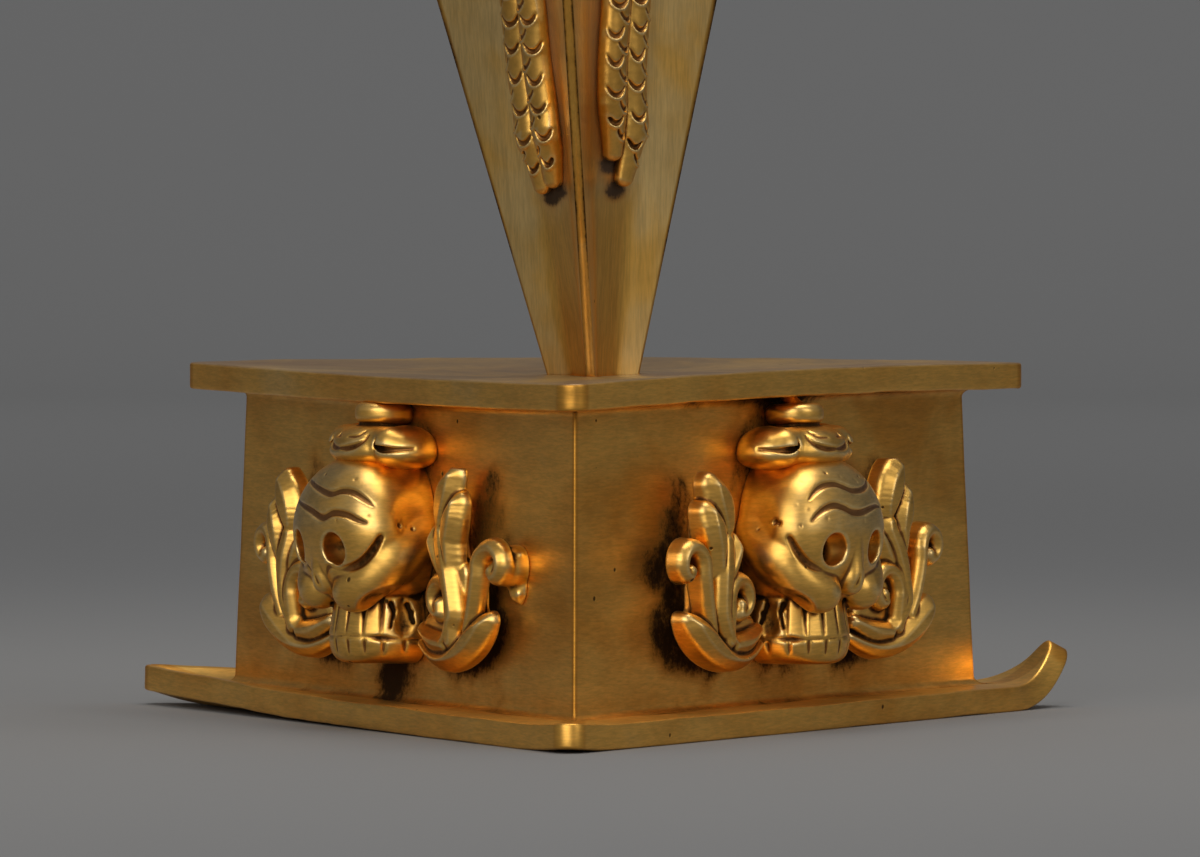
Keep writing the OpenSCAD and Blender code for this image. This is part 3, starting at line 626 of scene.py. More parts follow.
# Rows of a scroll wing's strand are its distance from the middle of the skull, height above the base plate,
# half width and height out of the wall.


def curl(eye, steps, *spans):
    """Strand that winds round an eye. Radius, degrees, half width and height each run through a span."""
    reach, degrees, width, out = (np.linspace(*span, steps + 1) for span in spans)
    b = np.radians(degrees)
    return np.column_stack([eye[0] + reach * np.cos(b), eye[1] + reach * np.sin(b), width, out])


def wing_strands(pull=0.0, lift=0.0, mended=False):
    """Name, points, width and slope of the bevelled edges, and height of the underside of each strand."""
    web = [(11.5, 8.2, 1.5, 3.4), (15.0, 8.6, 1.9, 3.6), (16.8, 11.0, 1.6, 3.7), (17.2, 14.0, 1.3, 3.6)]
    back = [(17.0, 12.0, 1.2, 3.9), (17.4, 16.5, 1.3, 4.1), (17.8, 19.6, 1.1, 4.1)]
    tail = [(21.5, 8.6, 0.7, 3.6), (20.3, 10.5, 0.8, 3.7), (20.2, 13.5, 0.8, 3.7)]
    crest = [(18.4, 17.6, 1.0, 4.7), (18.7, 19.6, 1.75, 5.2), (19.6, 21.8, 1.95, 5.4), (20.7, 23.5, 1.25, 5.2)]
    stem = [(14.8, 6.6, 0.7, 4.7), (16.8, 7.5, 1.0, 5.1), (18.3, 9.8, 1.15, 5.4), (18.8, 12.4, 1.25, 5.5),
            (18.9, 15.0, 1.4, 5.5), (18.7, 17.6, 1.3, 5.1)]
    step = [(19.6, 13.8, 0.9, 5.1), (20.5, 16.4, 1.35, 5.5), (21.2, 18.9, 1.6, 5.7), (21.9, 20.7, 1.15, 5.4)]
    bud = [(18.0, 12.6, 0.8, 4.7), (17.2, 14.6, 1.15, 5.1), (16.4, 16.6, 1.0, 5.1), (16.1, 17.9, 0.4, 4.8)]
    arm = [(20.0, 8.4, 0.85, 4.8), (20.8, 10.5, 0.8, 5.1), (21.4, 12.8, 0.78, 5.3), (21.8, 14.8, 0.8, 5.4)]
    outer = curl((24.1, 15.3), 16, (2.35, 1.1), (176, -70), (0.85, 0.7), (5.4, 4.9))
    outer = np.concatenate([smooth_path(arm, 4)[:-1], outer])
    drop = [(24.35, 14.3, 0.68, 4.9), (24.0, 14.7, 0.7, 4.9)]
    foot = [(17.0, 7.2, 0.95, 5.0), (17.2, 8.9, 0.9, 5.2)]
    inner = curl((14.6, 11.2), 22, (2.7, 1.25), (-14, 275), (0.95, 0.72), (5.4, 4.9))
    inner = np.concatenate([smooth_path(foot, 3)[:-1], inner])
    eye = [(14.6, 10.1, 0.62, 4.9), (14.4, 10.8, 0.7, 4.9)]
    belly = [(9.8, 8.0, 0.6, 4.4), (12.6, 7.0, 1.0, 4.8), (15.6, 6.7, 1.0, 4.9)]
    leaf = [(9.0, 6.5, 0.35, 4.4), (11.3, 5.6, 0.65, 4.7), (13.8, 5.1, 0.9, 4.9), (16.4, 5.3, 1.15, 5.1),
            (19.0, 6.2, 1.45, 5.3), (21.3, 7.5, 1.6, 5.5), (23.0, 8.7, 1.3, 5.4), (24.0, 9.6, 0.75, 5.1)]
    strands = (
        ("web", web, 0.4, 0.5, 0.0), ("back", back, 0.5, 0.5, 0.0), ("tail", tail, 0.4, 0.5, 1.6),
        ("crest", smooth_path(crest, 5), 1.1, 1.0, 2.5), ("stem", smooth_path(stem, 5), 0.8, 1.0, 2.3),
        ("step", smooth_path(step, 4), 1.0, 1.0, 2.5), ("bud", smooth_path(bud, 4), 0.9, 1.0, 2.5),
        ("outer", outer, 0.55, 1.0, 2.7), ("drop", drop, 0.4, 0.9, 2.7),
        ("inner", inner, 0.55, 1.0, 2.4), ("eye", eye, 0.4, 0.9, 2.4),
        ("belly", smooth_path(belly, 4), 0.8, 0.8, 2.2), ("leaf", smooth_path(leaf, 5), 1.0, 1.0, 2.2),
    )
    shaped = []
    for label, rows, bevel, slope, under in strands:
        rows = np.array(rows, float)
        plume = label in ("crest", "stem", "step", "bud", "back")
        if plume:
            rows[:, 0] -= pull * ramp(rows[:, 1], 10.0, 17.0)
            rows[:, 1] += lift * ramp(rows[:, 1], 11.0, 19.0)
        if mended:
            if label in ("outer", "drop", "tail"):
                rows[:, 0] = 21.4 + 1.3 * (rows[:, 0] - 20.0)
            elif not plume:
                rows[:, 0] = 10 + 1.1 * (rows[:, 0] - 10)
            rows[:, 3] *= 0.72
            under *= 0.72
        shaped.append((label, rows, bevel, slope, under))
    return shaped


def strand_field(strand, x, z):
    """Flat distance to a strand's outline and the height of its crown, over a grid of x and z."""
    near = np.full(np.broadcast(x, z).shape, 99.0, np.float32)
    crown = np.zeros_like(near)
    for a, b in zip(strand[:-1], strand[1:]):
        wx, wz = b[0] - a[0], b[1] - a[1]
        t = np.clip(((x - a[0]) * wx + (z - a[1]) * wz) / max(wx * wx + wz * wz, 1e-6), 0, 1)
        d = np.hypot(x - a[0] - t * wx, z - a[1] - t * wz) - (a[2] + (b[2] - a[2]) * t)
        closer = d < near
        near = np.where(closer, d, near)
        crown = np.where(closer, a[3] + (b[3] - a[3]) * t, crown)
    return near, crown


def wing_grime(pts):
    """Dark residue and painted shade low between the strands, and dark residue where they spring from the skull and
    round the mended lump.
    """
    u, w = pts[:, 0], -pts[:, 1]
    burr = 0.45 * ramp(u, 26.6, 27.4) * ramp(w, 3.0, 2.2)
    # Low down near the wall the strands are painted dark, a painted shade of the undercut as well as residue.
    return 0.8 * ramp(w, 2.4, 1.2) * (u < 27.6) + 0.3 * ramp(u, 11.5, 9.5) + burr + 0.02


def sculpt_wing(strands, mended=False):
    """Scroll wing of bevelled strands. A mended one has a rough lump of brass beside its outer curl."""
    clay = Clay((7.6, -6.6, 3.0), (32.6 if mended else 28.2, 0.6, 25.4), 0.125)
    x, z = clay.axes[0][:, None], clay.axes[2][None, :]
    w = -clay.axes[1][None, :, None]
    for _, strand, bevel, slope, under in strands:
        near, crown = (level[:, None, :] for level in strand_field(strand, x, z))
        side = np.maximum(near - 0.1 * (5.2 - w), under - w if under else -9.0)
        top = (w - crown + slope * np.maximum(near + bevel, 0)) / math.sqrt(1 + slope**2)
        clay.field = melt(clay.field, -melt(-side, -top, 0.3).astype(np.float32), 0.1)
    if mended:
        draw = np.random.default_rng(61)
        for centre, radii in (((27.6, -0.7, 15.3), (2.2, 2.4, 2.3)), ((27.8, 0.2, 13.2), (1.5, 1.6, 1.9))):
            clay.egg(centre, radii, 0.3)
            for _ in range(14):
                way = draw.normal(size=3)
                way[1] = -abs(way[1])
                spot = np.array(centre) + 0.9 * np.array(radii) * way / np.linalg.norm(way)
                clay.egg(spot, draw.uniform(0.2, 0.4), 0.2)
    return clay.trim(3.4, 25.2, back=0.0)


# Dagger. Points are x and y across it and z up its axis from the tip of the blade.


def turned(clay, profile):
    """Adds a body turned from rows of radius and height."""
    radii, heights = np.array(profile, float).T
    reach, low, high = radii.max(), heights[0], heights[-1]

    def body(x, y, z):
        off = np.sqrt(x**2 + y**2) - np.interp(z, heights, radii)
        return -melt(-0.85 * off, -np.maximum(low - z, z - high), 0.3)

    clay.work((-reach, -reach, low), (reach, reach, high), body)


def hoop(radius, z, thick, count):
    """Rows of a level ring round the axis."""
    a = np.linspace(0, 2 * math.pi, count)
    return np.column_stack([radius * np.cos(a), radius * np.sin(a), 0 * a + z, 0 * a + thick])


def sculpt_nagas(seed, tails):
    """Pair of snakes in a valley of the blade that faces -y. tails holds where the two end."""
    draw = np.random.default_rng(seed)
    clay = Clay((-4.5, -10.2, min(tails) - 1.2), (4.5, -2.4, BLADE_LEN), 0.112)
    q = np.linspace(-1, 1, 9)
    for hand, tail in zip((-1, 1), tails):
        s = np.linspace(tail, BLADE_LEN, 40)
        thin = np.minimum(1, 0.66 + 0.34 * (s - tail) / 5.0)
        body = NAGA_R * thin
        x = hand * (1.36 * body + 0.02) + 0.22 * np.sin(np.radians(75 * (s - NAGA_TAIL) / NAGA_WAVE))
        y = -np.maximum(VALLEY_SHARE * fin_radius(np.minimum(s, SHOULDER)), 4.3 * thin) - 0.75 * body
        clay.cord(np.column_stack([x, y, s, body]), 0.02, flat=(NAGA_FLAT, 1.0, 1.0))
        up, k = tail + 1.6, 0
        while up < BLADE_LEN - 1.0:
            x0, y0, r0 = (np.interp(up, s, column) for column in (x, y, body))
            lean = (-1) ** k * 0.45 + draw.uniform(-0.12, 0.12) + 0.12 * hand
            half, drop = 0.62 * draw.uniform(0.85, 1.15), 0.95 * draw.uniform(0.85, 1.15)
            b, rim = lean + half * q, up + drop * np.abs(q) ** 2.2

            def scale(out, level, r):
                return np.column_stack([x0 + (r0 / NAGA_FLAT + out) * np.sin(b), y0 - (r0 + out) * np.cos(b), level, r])

            clay.cord(scale(-0.1, rim - 0.34, 0 * q + 0.2), 0.2)
            clay.cord(scale(0.04, rim, 0.3 * (1 - 0.6 * q * q)), 0.04, cut=True)
            up += 1.53 * draw.uniform(0.9, 1.12)
            k += 1
    return clay


def sculpt_makara():
    """Head with three trunks and faces round it, and scrolls between them."""
    h = 26.0
    clay = Clay((-17.6, -19.4, -0.1), (17.6, 16.5, h + 0.1), 0.22)
    turned(clay, [(11.1, 0), (12.6, 3), (13.2, 8), (12.2, 14), (10.2, 19), (8.8, h)])
    b = np.radians(np.linspace(-150, 150, 15))[:, None]
    for turn in (60, 180, 300):
        trunk = smooth_path([(0, -8, 13.4, 4.4), (0, -12, 8.6, 4.0), (0, -15, 5.2, 2.9), (0, -17.0, 6.2, 2.1),
                             (0, -17.7, 9.8, 1.6), (0, -16.8, 12.2, 1.15)], 5)
        clay.cord(around(trunk, turn), 0.8)
        for point, ahead in zip(trunk[5:23:2], trunk[6:24:2]):
            way = (ahead - point)[:3]
            off = np.sin(b) * (1.0, 0.0, 0.0) + np.cos(b) * np.cross(way / np.linalg.norm(way), (1.0, 0.0, 0.0))
            ring = np.column_stack([point[:3] + point[3] * off, np.full(len(b), 0.28)])
            clay.cord(around(ring, turn), 0.1, cut=True)
        for hand in (-1, 1):
            def add(rows, steps, blend, cut=False):
                clay.strand(np.array(rows) * (hand, 1, 1, 1), steps, turn, blend, cut)

            for middle, radii, blend, cut in (((4.9, -11.2, 15.2), (2.3, 2.3, 2.2), 0.3, False),
                                              ((5.5, -13.2, 15.1), 0.75, 0.1, True)):
                clay.egg(around([np.array(middle) * (hand, 1, 1)], turn)[0], radii, blend, cut)
            add([(2.2, -12.4, 15.8, 0.45), (3.8, -13.3, 17.8, 0.7), (6.2, -12.2, 18.2, 0.75), (8.2, -10.2, 17.0, 0.5),
                 (9.6, -8.2, 18.4, 0.3)], 4, 0.25)
            add([(1.6, -13.6, 2.2, 1.0), (4.6, -12.4, 1.6, 1.05), (8.0, -10.2, 3.0, 1.0), (10.2, -7.6, 6.2, 0.9),
                 (9.4, -8.2, 8.6, 0.7), (8.0, -9.9, 8.0, 0.55)], 4, 0.25)
            add([(0.9, -15.4, 8.2, 0.5), (1.5, -14.6, 8.6, 0.3)], 1, 0.1, cut=True)
            for q in (2.6, 4.5, 6.3):
                add([(q, -12.9 + 0.33 * q, 0.9, 0.75), (q, -13.0 + 0.33 * q, 0.2, 0.35)], 1, 0.15)
            for k, (q, top) in enumerate(((3.0, 25.0), (5.6, 23.6), (8.0, 22.0))):
                add([(q, -9.9 + 0.4 * k, 17.6, 0.9), (q + 1.1, -9.2 + 0.6 * k, 20.2, 1.0),
                     (q - 0.4, -8.9 + 0.7 * k, top - 0.8, 0.75), (q - 1.3, -8.9 + 0.7 * k, top, 0.3)], 4, 0.15)
        mane = [(0, -12.3, 15.6, 0.9), (0, -11.5, 18.5, 1.1), (0, -10.2, 21.5, 0.9), (0, -9.6, 24.6, 0.4)]
        clay.strand(mane, 4, turn, 0.3)
    scroll = [(-0.9, -12.6, 3.4, 0.85), (-1.2, -12.9, 7.0, 0.95), (-2.6, -12.8, 10.4, 1.0), (-4.4, -12.3, 11.4, 0.9),
              (-5.0, -12.2, 9.8, 0.8), (-4.0, -12.6, 9.0, 0.7)]
    for turn in (0, 120, 240):
        for side in both(scroll):
            clay.strand(side, 4, turn, 0.2)
        clay.egg(around([(0, -12.4, 12.6)], turn)[0], (1.5, 1.2, 1.9), 0.2)
    return clay.trim(0, h)


def sculpt_lotus(flip):
    """Collar of twelve broad petals with a second row behind them. flip turns them downwards."""
    h = 6.0
    clay = Clay((-9.9, -9.9, -0.1), (9.9, 9.9, h + 0.1), 0.16)

    def up(v):
        return h - v if flip else v

    turned(clay, sorted([(8.0, up(0.0)), (7.9, up(1.8)), (7.0, up(3.6)), (6.3, up(h))], key=lambda row: row[1]))
    for k in range(24):
        broad = k % 2 == 0
        out, wide, top = (8.15, 1.45, 4.6) if broad else (7.6, 1.1, 5.5)
        petal = [(out - 0.5, 0, up(0.5), 0.8 * wide), (out, 0, up(1.5), wide),
                 (out - 0.35, 0, up(0.6 * top), 0.9 * wide), (out - 0.9, 0, up(top), 0.25 * wide)]
        clay.strand(petal, 3, 15 * k, 0.08)
        for hand in (-0.45, 0.45) if broad else ():
            vein = [(out + wide, 0.4 * hand, up(0.8), 0.16), (out + wide - 0.1, hand, up(2.4), 0.2),
                    (out + 0.4, 0.3 * hand, up(4.0), 0.1)]
            clay.strand(vein, 1, 15 * k, 0.05, cut=True)
    return clay.trim(0, h)


def sculpt_knot():
    """Round knot of crossing bands between two beaded rings."""
    h = 12.0
    clay = Clay((-8.9, -8.9, -0.1), (8.9, 8.9, h + 0.1), 0.16)
    turned(clay, [(6.4, 0), (6.6, 1.5), (8.0, 3.4), (8.3, 6), (8.0, 8.6), (6.6, h - 1.5), (6.4, h)])
    q = np.linspace(-1, 1, 13)
    for k in range(8):
        for way in (-1, 1):
            a = np.radians(45 * k + way * 42 * q)
            r = 8.05 * np.sqrt(1 - (0.52 * q) ** 2) + 0.2 * way * np.cos(2 * math.pi * q)
            clay.cord(np.column_stack([r * np.cos(a), r * np.sin(a), h / 2 + 3.6 * q, 0 * q + 0.5]), 0.08)
    for v in (1.25, h - 1.25):
        for x, y, z, r in hoop(7.2, v, 0.85, 29)[:-1]:
            clay.egg((x, y, z), r, 0.1)
        for edge in (-1.05, 1.05):
            clay.cord(hoop(6.9, v + edge, 0.28, 49), 0.1)
    return clay.trim(0, h)


def sculpt_grip():
    """Eight-sided grip with two grooves beside each corner and two rings round the middle."""
    h = 30.0
    clay = Clay((-6.6, -6.6, -0.1), (6.6, 6.6, h + 0.1), 0.15)

    def shaft(x, y, z):
        swell = 5.2 + 0.5 * (1 - np.abs(z - h / 2) / (h / 2))
        faces = np.max([x * c + y * s for c, s in map(toward, range(0, 360, 45))], axis=0)
        hollow = 0.18 * np.cos(4 * np.arctan2(y, x)) ** 2
        return -melt(-(faces - swell + hollow), -np.maximum(-z, z - h), 0.3)

    clay.work((-6.4, -6.4, 0), (6.4, 6.4, h), shaft)
    low_groove = np.array([(5.5, 0, 1.6, 0.16), (5.95, 0, h / 2 - 2.2, 0.2)])
    high_groove = (low_groove * (1, 1, -1, 1) + (0, 0, h, 0))[::-1]
    for k in range(8):
        for shift in (-9, 9):
            for groove in (low_groove, high_groove):
                clay.strand(groove, 1, 22.5 + 45 * k + shift, 0.06, cut=True)
    for v in (h / 2 - 1.5, h / 2 + 1.5):
        clay.cord(hoop(5.78, v, 0.3, 41), 0.1)
    return clay.trim(0, h)


def sculpt_vajra():
    """Half vajra: four prongs that close round a middle one, on a ringed hub."""
    clay = Clay((-11, -11, -0.1), (11, 11, 36.4), 0.185)
    turned(clay, [(6.2, 0), (7.1, 2), (6.0, 4), (4.1, 5.5), (3.4, 8), (2.5, 10), (1.9, 20), (1.5, 31), (0.4, 36)])
    petal = [(6.2, 0, 0.8, 0.8), (6.5, 0, 2.4, 0.95), (5.3, 0, 4.4, 0.75), (4.3, 0, 5.6, 0.3)]
    for k in range(16):
        clay.strand(petal, 3, 22.5 * k, 0.08)
    prong = smooth_path([(2.6, 0, 5, 1.7), (6.4, 0, 7.5, 1.75), (8.5, 0, 12, 1.75), (8.8, 0, 17, 1.7),
                         (6.9, 0, 22.5, 1.5), (4.0, 0, 27.5, 1.2), (2.1, 0, 31.5, 0.8)], 5)
    ridge = prong[6:26].copy()
    ridge[:, 0] += 0.95 * ridge[:, 3]
    ridge[:, 3] = 0.42
    spur = [(6.3, 0, 9.6, 0.7), (9.4, 0, 10.4, 0.6), (9.6, 0, 8.9, 0.5), (8.8, 0, 8.6, 0.4)]
    for turn in (0, 90, 180, 270):
        clay.cord(around(prong, turn), 0.2)
        clay.cord(around(ridge, turn), 0.35)
        for k in (5, 7, 9):
            x, _, z, r = prong[k]
            clay.cord(around(hoop(r + 0.1, z + 0.4 * k / 9, 0.28, 17) + (x, 0, 0, 0), turn), 0.1)
        clay.strand(spur, 3, turn, 0.2)
    for v, r in ((10.4, 2.9), (12.0, 2.7), (24.0, 2.1)):
        clay.cord(hoop(r, v, 0.4, 25), 0.15)
    return clay.trim(0)


# Pieces


def settings():
    """Sizes and colours that the operators read."""
    return bpy.context.scene.phurba


def finish_piece(piece, node, body, slot):
    """Gives a piece its finish and its place on a body, and puts it in the place of a CAD node."""
    piece.data.materials.append(gilding(slot))
    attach(piece, body)
    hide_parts(node)


def paint(node, material):
    """Gives a CAD node that stays in the scene a material."""
    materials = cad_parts[node].data.materials
    materials.clear()
    materials.append(material)


def colour_setting(name, description, default):
    """Colour that can be picked in the panel."""
    return bpy.props.FloatVectorProperty(name=name, description=description, subtype="COLOR", size=3, min=0, max=1,
                                         default=default)


class PhurbaSettings(bpy.types.PropertyGroup):
    """Sizes and colours of the dagger, its stand and the stage."""

    gold: colour_setting("Gold", "Colour of the gilding", (0.91, 0.51, 0.11))
    browned: colour_setting("Browned gold", "Colour of gilding browned by handling", (0.68, 0.31, 0.045))
    cut: colour_setting("Cuts", "Reddish colour inside fine cuts", (0.24, 0.09, 0.03))
    # A pale tone for edges worn bright, which is partly a painted highlight.
    rubbed: colour_setting("Rubbed edges", "Pale colour of edges that are rubbed bright", (0.95, 0.72, 0.34))
    # This colour also paints the shade round the ornaments on the wall and on the undercut wings.
    residue: colour_setting("Residue", "Colour of the dark residue in the recesses", (0.05, 0.025, 0.009))
    dust: colour_setting("Dust", "Colour of the dull, dusty top of the stand", (0.15, 0.105, 0.07))
    floor: colour_setting("Floor", "Colour of the floor round the object", (0.20, 0.196, 0.19))
    backdrop: colour_setting("Backdrop", "Colour of the backdrop", (0.26, 0.26, 0.26))
    edge: bpy.props.FloatProperty(
        name="Plate edge", description="Rounding of the plates' worn edges, in millimetres",
        default=0.3, min=0.1, max=0.6,
    )


class PHURBA_OT_base_plate(bpy.types.Operator):
    """Beaten base plate with its corners turned up"""

    bl_idname = "phurba.base_plate"
    bl_label = "Base plate"

    def execute(self, context):
        outer = nose_outline(BASE_CORNER_R, PLATE_NOSE_R, 150)
        pts, quads, tris = beaten_plate(outer, None, 0.0, BASE_T, base_lift, 5)
        pts[:, 2] = np.maximum(pts[:, 2], 0.0)
        corner = at_corner(len(pts), len(outer))
        # The round noses are painted browner and darker, a painted shade that dulls the lamp's reflection on them.
        marks = {"grime": plate_grime(pts) + 0.1 * corner,
                 "worn": np.clip(0.12 + 0.35 * bumps(pts, 30.0, 8) + 0.6 * corner, -0.3, 1)}
        piece = make_mesh("beaten_base_plate", pts, quads, tris, marks=marks)
        finish_piece(piece, "base_plate", "stand", "plate_gilding")
        return {"FINISHED"}


def plate_grime(pts):
    """Darker along the foot of the wall on the base plate, with faint patches all over."""
    foot = 0.5 * np.exp(-np.clip(outside_wall(pts[:, :2]), 0, 9) / 0.7) * (pts[:, 2] > 1.5)
    return np.clip(foot + 0.08 * bumps(pts, 9.0, 31), 0, 1)


class PHURBA_OT_top_plate(bpy.types.Operator):
    """Worn top plate with the three-cornered hole for the blade"""

    bl_idname = "phurba.top_plate"
    bl_label = "Top plate"

    def execute(self, context):
        outer = nose_outline(TOP_CORNER_R, PLATE_NOSE_R, 150)
        hole = blade_outline(SEAT_DEPTH, grow=BLADE_CLEAR, fine=8)
        seat = moved(np.column_stack([hole, np.full(len(hole), SEAT_DEPTH)]), on_dagger())
        inner = resample_by_angle(seat[:, :2], outer)

        def sag(xy):
            return top_sag(xy), np.zeros((len(xy), 2))

        pts, quads, tris = beaten_plate(outer, inner, PLATE_UNDER, STAND_TOP - PLATE_UNDER, sag, 9)
        above = pts[:, 2] - top_sag(pts[:, :2]) - STAND_TOP
        corner = at_corner(len(pts), len(outer))
        # The round noses are painted browner and darker, a painted shade that dulls the lamp's reflection on them.
        marks = {"grime": np.clip(0.1 * bumps(pts, 9.0, 33), 0, 1) + 0.1 * corner,
                 "worn": np.clip(0.2 + 0.35 * bumps(pts, 25.0, 18) + 0.6 * corner, -0.3, 1),
                 "dust": ramp(above, -0.2, -0.08)}
        piece = make_mesh("beaten_top_plate", pts, quads, tris, marks=marks)
        finish_piece(piece, "top_plate", "stand", "plate_gilding")
        return {"FINISHED"}


def resample_by_angle(inner, outer):
    """Points of the inner loop at the angles of the outer loop's points, seen from the middle."""
    centre = inner.mean(axis=0)
    a, b = (np.arctan2(loop[:, 1] - centre[1], loop[:, 0] - centre[0]) for loop in (inner, outer))
    a = np.unwrap(a)
    order = np.argsort(a)
    a, r = a[order], np.hypot(*(inner - centre)[order].T)
    q = np.interp(b, np.concatenate([a - 2 * math.pi, a, a + 2 * math.pi]), np.tile(r, 3))
    return centre + np.column_stack([q * np.cos(b), q * np.sin(b)])


class PHURBA_OT_stand_wall(bpy.types.Operator):
    """Hollow three-sided wall with coves at its foot and head"""

    bl_idname = "phurba.stand_wall"
    bl_label = "Wall of the stand"

    def execute(self, context):
        cove = [(COVE_R * (1 - math.cos(a)), COVE_R * (1 - math.sin(a))) for a in np.radians(np.linspace(0, 90, 7))]
        levels = cove + [(up, 0.0) for up in np.linspace(COVE_R, WALL_H - COVE_R, 70)[1:-1]]
        levels += [(WALL_H - up, out) for up, out in cove[::-1]]
        levels += [(WALL_H * t, -WALL_T) for t in (1.0, 0.5, 0.0)]
        rings = []
        for up, out in levels:
            apothem = FOOT_APOTHEM + (HEAD_APOTHEM - FOOT_APOTHEM) * up / WALL_H + out
            loop = nose_outline(2 * apothem - WALL_NOSE_R, WALL_NOSE_R, 170)
            rings.append(np.column_stack([loop, np.full(len(loop), BASE_T + up)]))
        pts, quads = loft(rings, tube=True)
        t = ramp(pts[:, 2], BASE_T, PLATE_UNDER)
        push = 0.1 * bumps(pts, 26.0, 3) * np.sin(math.pi * t)
        pts[:, :2] += push[:, None] * unit_rows(pts[:, :2])
        pts[:, 2] += top_sag(pts[:, :2]) * t**6
        corner = at_corner(len(pts), len(loop))
        # The round noses are painted browner and darker, a painted shade that dulls the lamp's reflection on them.
        marks = {"grime": wall_grime(pts) + 0.22 * corner,
                 "worn": np.clip(0.35 + 0.35 * bumps(pts, 22.0, 12) + 0.6 * corner, 0, 1)}
        piece = make_mesh("cast_stand_wall", pts, quads, marks=marks)
        finish_piece(piece, "stand_wall", "stand", "plate_gilding")
        return {"FINISHED"}


def wall_grime(pts):
    """Dark residue and painted shadow on the wall round the ornaments, and darker in the coves."""
    total = np.zeros(len(pts))
    for wall, side in WALLS.items():
        x, y, v = moved(pts, on_wall(side).inverted()).T
        u = np.abs(x)
        gaps = [strand_field(strand, u, v)[0] for _, strand, *_ in wing_strands()]
        gap = np.clip(np.min([*gaps, 10 * (np.hypot(u / 9.5, (v - SKULL_LEVEL) / 13.5) - 1)], axis=0), 0, 30)
        low_down = np.clip((16.0 - v) / 8.0, -0.6, 1)
        # The halo round the ornaments is soot and partly a painted shadow of them on the wall, stronger low down.
        soot = (0.36 + 0.1 * low_down) * np.exp(-((gap / 1.6) ** 1.2)) + (0.3 + 0.1 * low_down) * np.exp(-gap / 4.0)
        # Darker still in a patch under the front-left skull's jaw.
        if wall == "front_left":
            soot += 0.6 * np.exp(-(((x + 1.5) / 4.2) ** 2) - ((v - 2.0) / 1.8) ** 2)
        total = np.maximum(total, np.where(np.abs(y) < 1.2, soot, 0))
    z = pts[:, 2]
    # Darker at the foot of the wall and under the top plate.
    cove = 0.35 * np.exp(-(z - BASE_T) / 0.9) + 0.45 * np.exp(-(PLATE_UNDER - z) / 1.0)
    return np.clip(total + cove + 0.12 * bumps(pts, 7.0, 41), 0, 1)


# Each wall's brow lines, how proud its forehead is, and its left and right wing: how far the plume is pulled
# towards the skull, how far it is lifted, and whether the wing was mended with a lump of brass.
SKULLS = {
    "front_right": (BROWS_A, 0.0, (1.5, 0.0, False), (3.0, 0.7, False)),
    "front_left": (BROWS_B, 0.55, (0.4, -0.9, False), (3.6, 0.8, True)),
    "back": (BROWS_A, 0.2, (1.5, 0.0, False), (1.7, 0.2, False)),
}


class PHURBA_OT_skulls(bpy.types.Operator):
    """Skulls, their hair and their scroll wings on the three walls"""

    bl_idname = "phurba.skulls"
    bl_label = "Skull ornaments"

    def execute(self, context):
        hair = sculpt_topknot().cast("topknot_pattern", Matrix(), hair_grime)
        for wall, (brows, proud, *wings) in SKULLS.items():
            side = WALLS[wall]
            skull = sculpt_skull(brows, proud, int(side) + 200).cast("skull_pattern", Matrix(), skull_grime)
            left, right = (sculpt_wing(wing_strands(*wing), wing[2]).cast("wing_pattern", Matrix(), wing_grime)
                           for wing in wings)
            for pattern, node, hand in ((skull, "skull", 1), (hair, "topknot", 1), (left, "left_scroll", -1),
                                        (right, "right_scroll", 1)):
                mesh = pattern.data.copy()
                mesh.name = f"carved_{node}_{wall}"
                place = on_wall(side) @ Matrix.Diagonal((hand, 1, 1, 1))
                mesh.transform(Matrix.Scale(MM, 4) @ place @ Matrix.Scale(1 / MM, 4))
                if hand < 0:
                    mesh.flip_normals()
                piece = bpy.data.objects.new(mesh.name, mesh)
                bpy.context.scene.collection.objects.link(piece)
                finish_piece(piece, f"{node}_{wall}", "stand", "ornament_gilding")
            for pattern in (skull, left, right):
                bpy.data.objects.remove(pattern)
        bpy.data.objects.remove(hair)
        return {"FINISHED"}


class PHURBA_OT_blade(bpy.types.Operator):
    """Three-finned blade with hollow valleys"""

    bl_idname = "phurba.blade"
    bl_label = "Blade"

    def execute(self, context):
        heights = np.concatenate([[0, 1, 2, 4], np.linspace(6, SHOULDER, 90), np.linspace(SHOULDER, BLADE_LEN, 14)[1:]])
        rings = []
        for s in heights:
            loop = blade_outline(s) * (0.8 if s == 0 else 1.0)
            rings.append(np.column_stack([loop, np.full(len(loop), s)]))
        pts, quads, tris = capped(rings, (0, 0, 0), (0, 0, BLADE_LEN))
        z, fin_points = pts[:, 2], len(loop) // 3
        reach = np.hypot(pts[:, 0], pts[:, 1]) / fin_radius(z)
        fin = ramp(reach, 0.36, 0.61)
        beside_nagas = ramp(z, 34.0, 40.0)
        # Fins and the valleys beside the nagas are painted paler, a painted sheen as well as wear.
        worn = 0.1 - 0.75 * np.maximum(fin, beside_nagas) + 0.45 * bumps(pts, 18.0, 22)
        place = np.append(np.arange(len(pts) - 2) % fin_points, [0, 0])
        land = np.isin(place, (0, 1, fin_points - 1)) & (reach > 0.9)
        # The land is painted pale and bright below 33 mm, a painted highlight, and browned above it.
        worn = np.where(land, np.where(z < 33, -0.4, 0.5), worn)
        lined = 0.75 * np.isin(place, (1, fin_points - 1)) * np.clip((z - 24) / 8, 0.25, 1)
        marks = {"grime": np.clip(blade_grime(pts) + lined, 0, 1), "worn": np.clip(worn, -1, 1),
                 "dust": 0.6 * beside_nagas * (1 - fin)}
        piece = make_mesh("ground_blade", pts, quads, tris, matrix=on_dagger(), marks=marks)
        finish_piece(piece, "blade", "dagger", "blade_gilding")
        return {"FINISHED"}


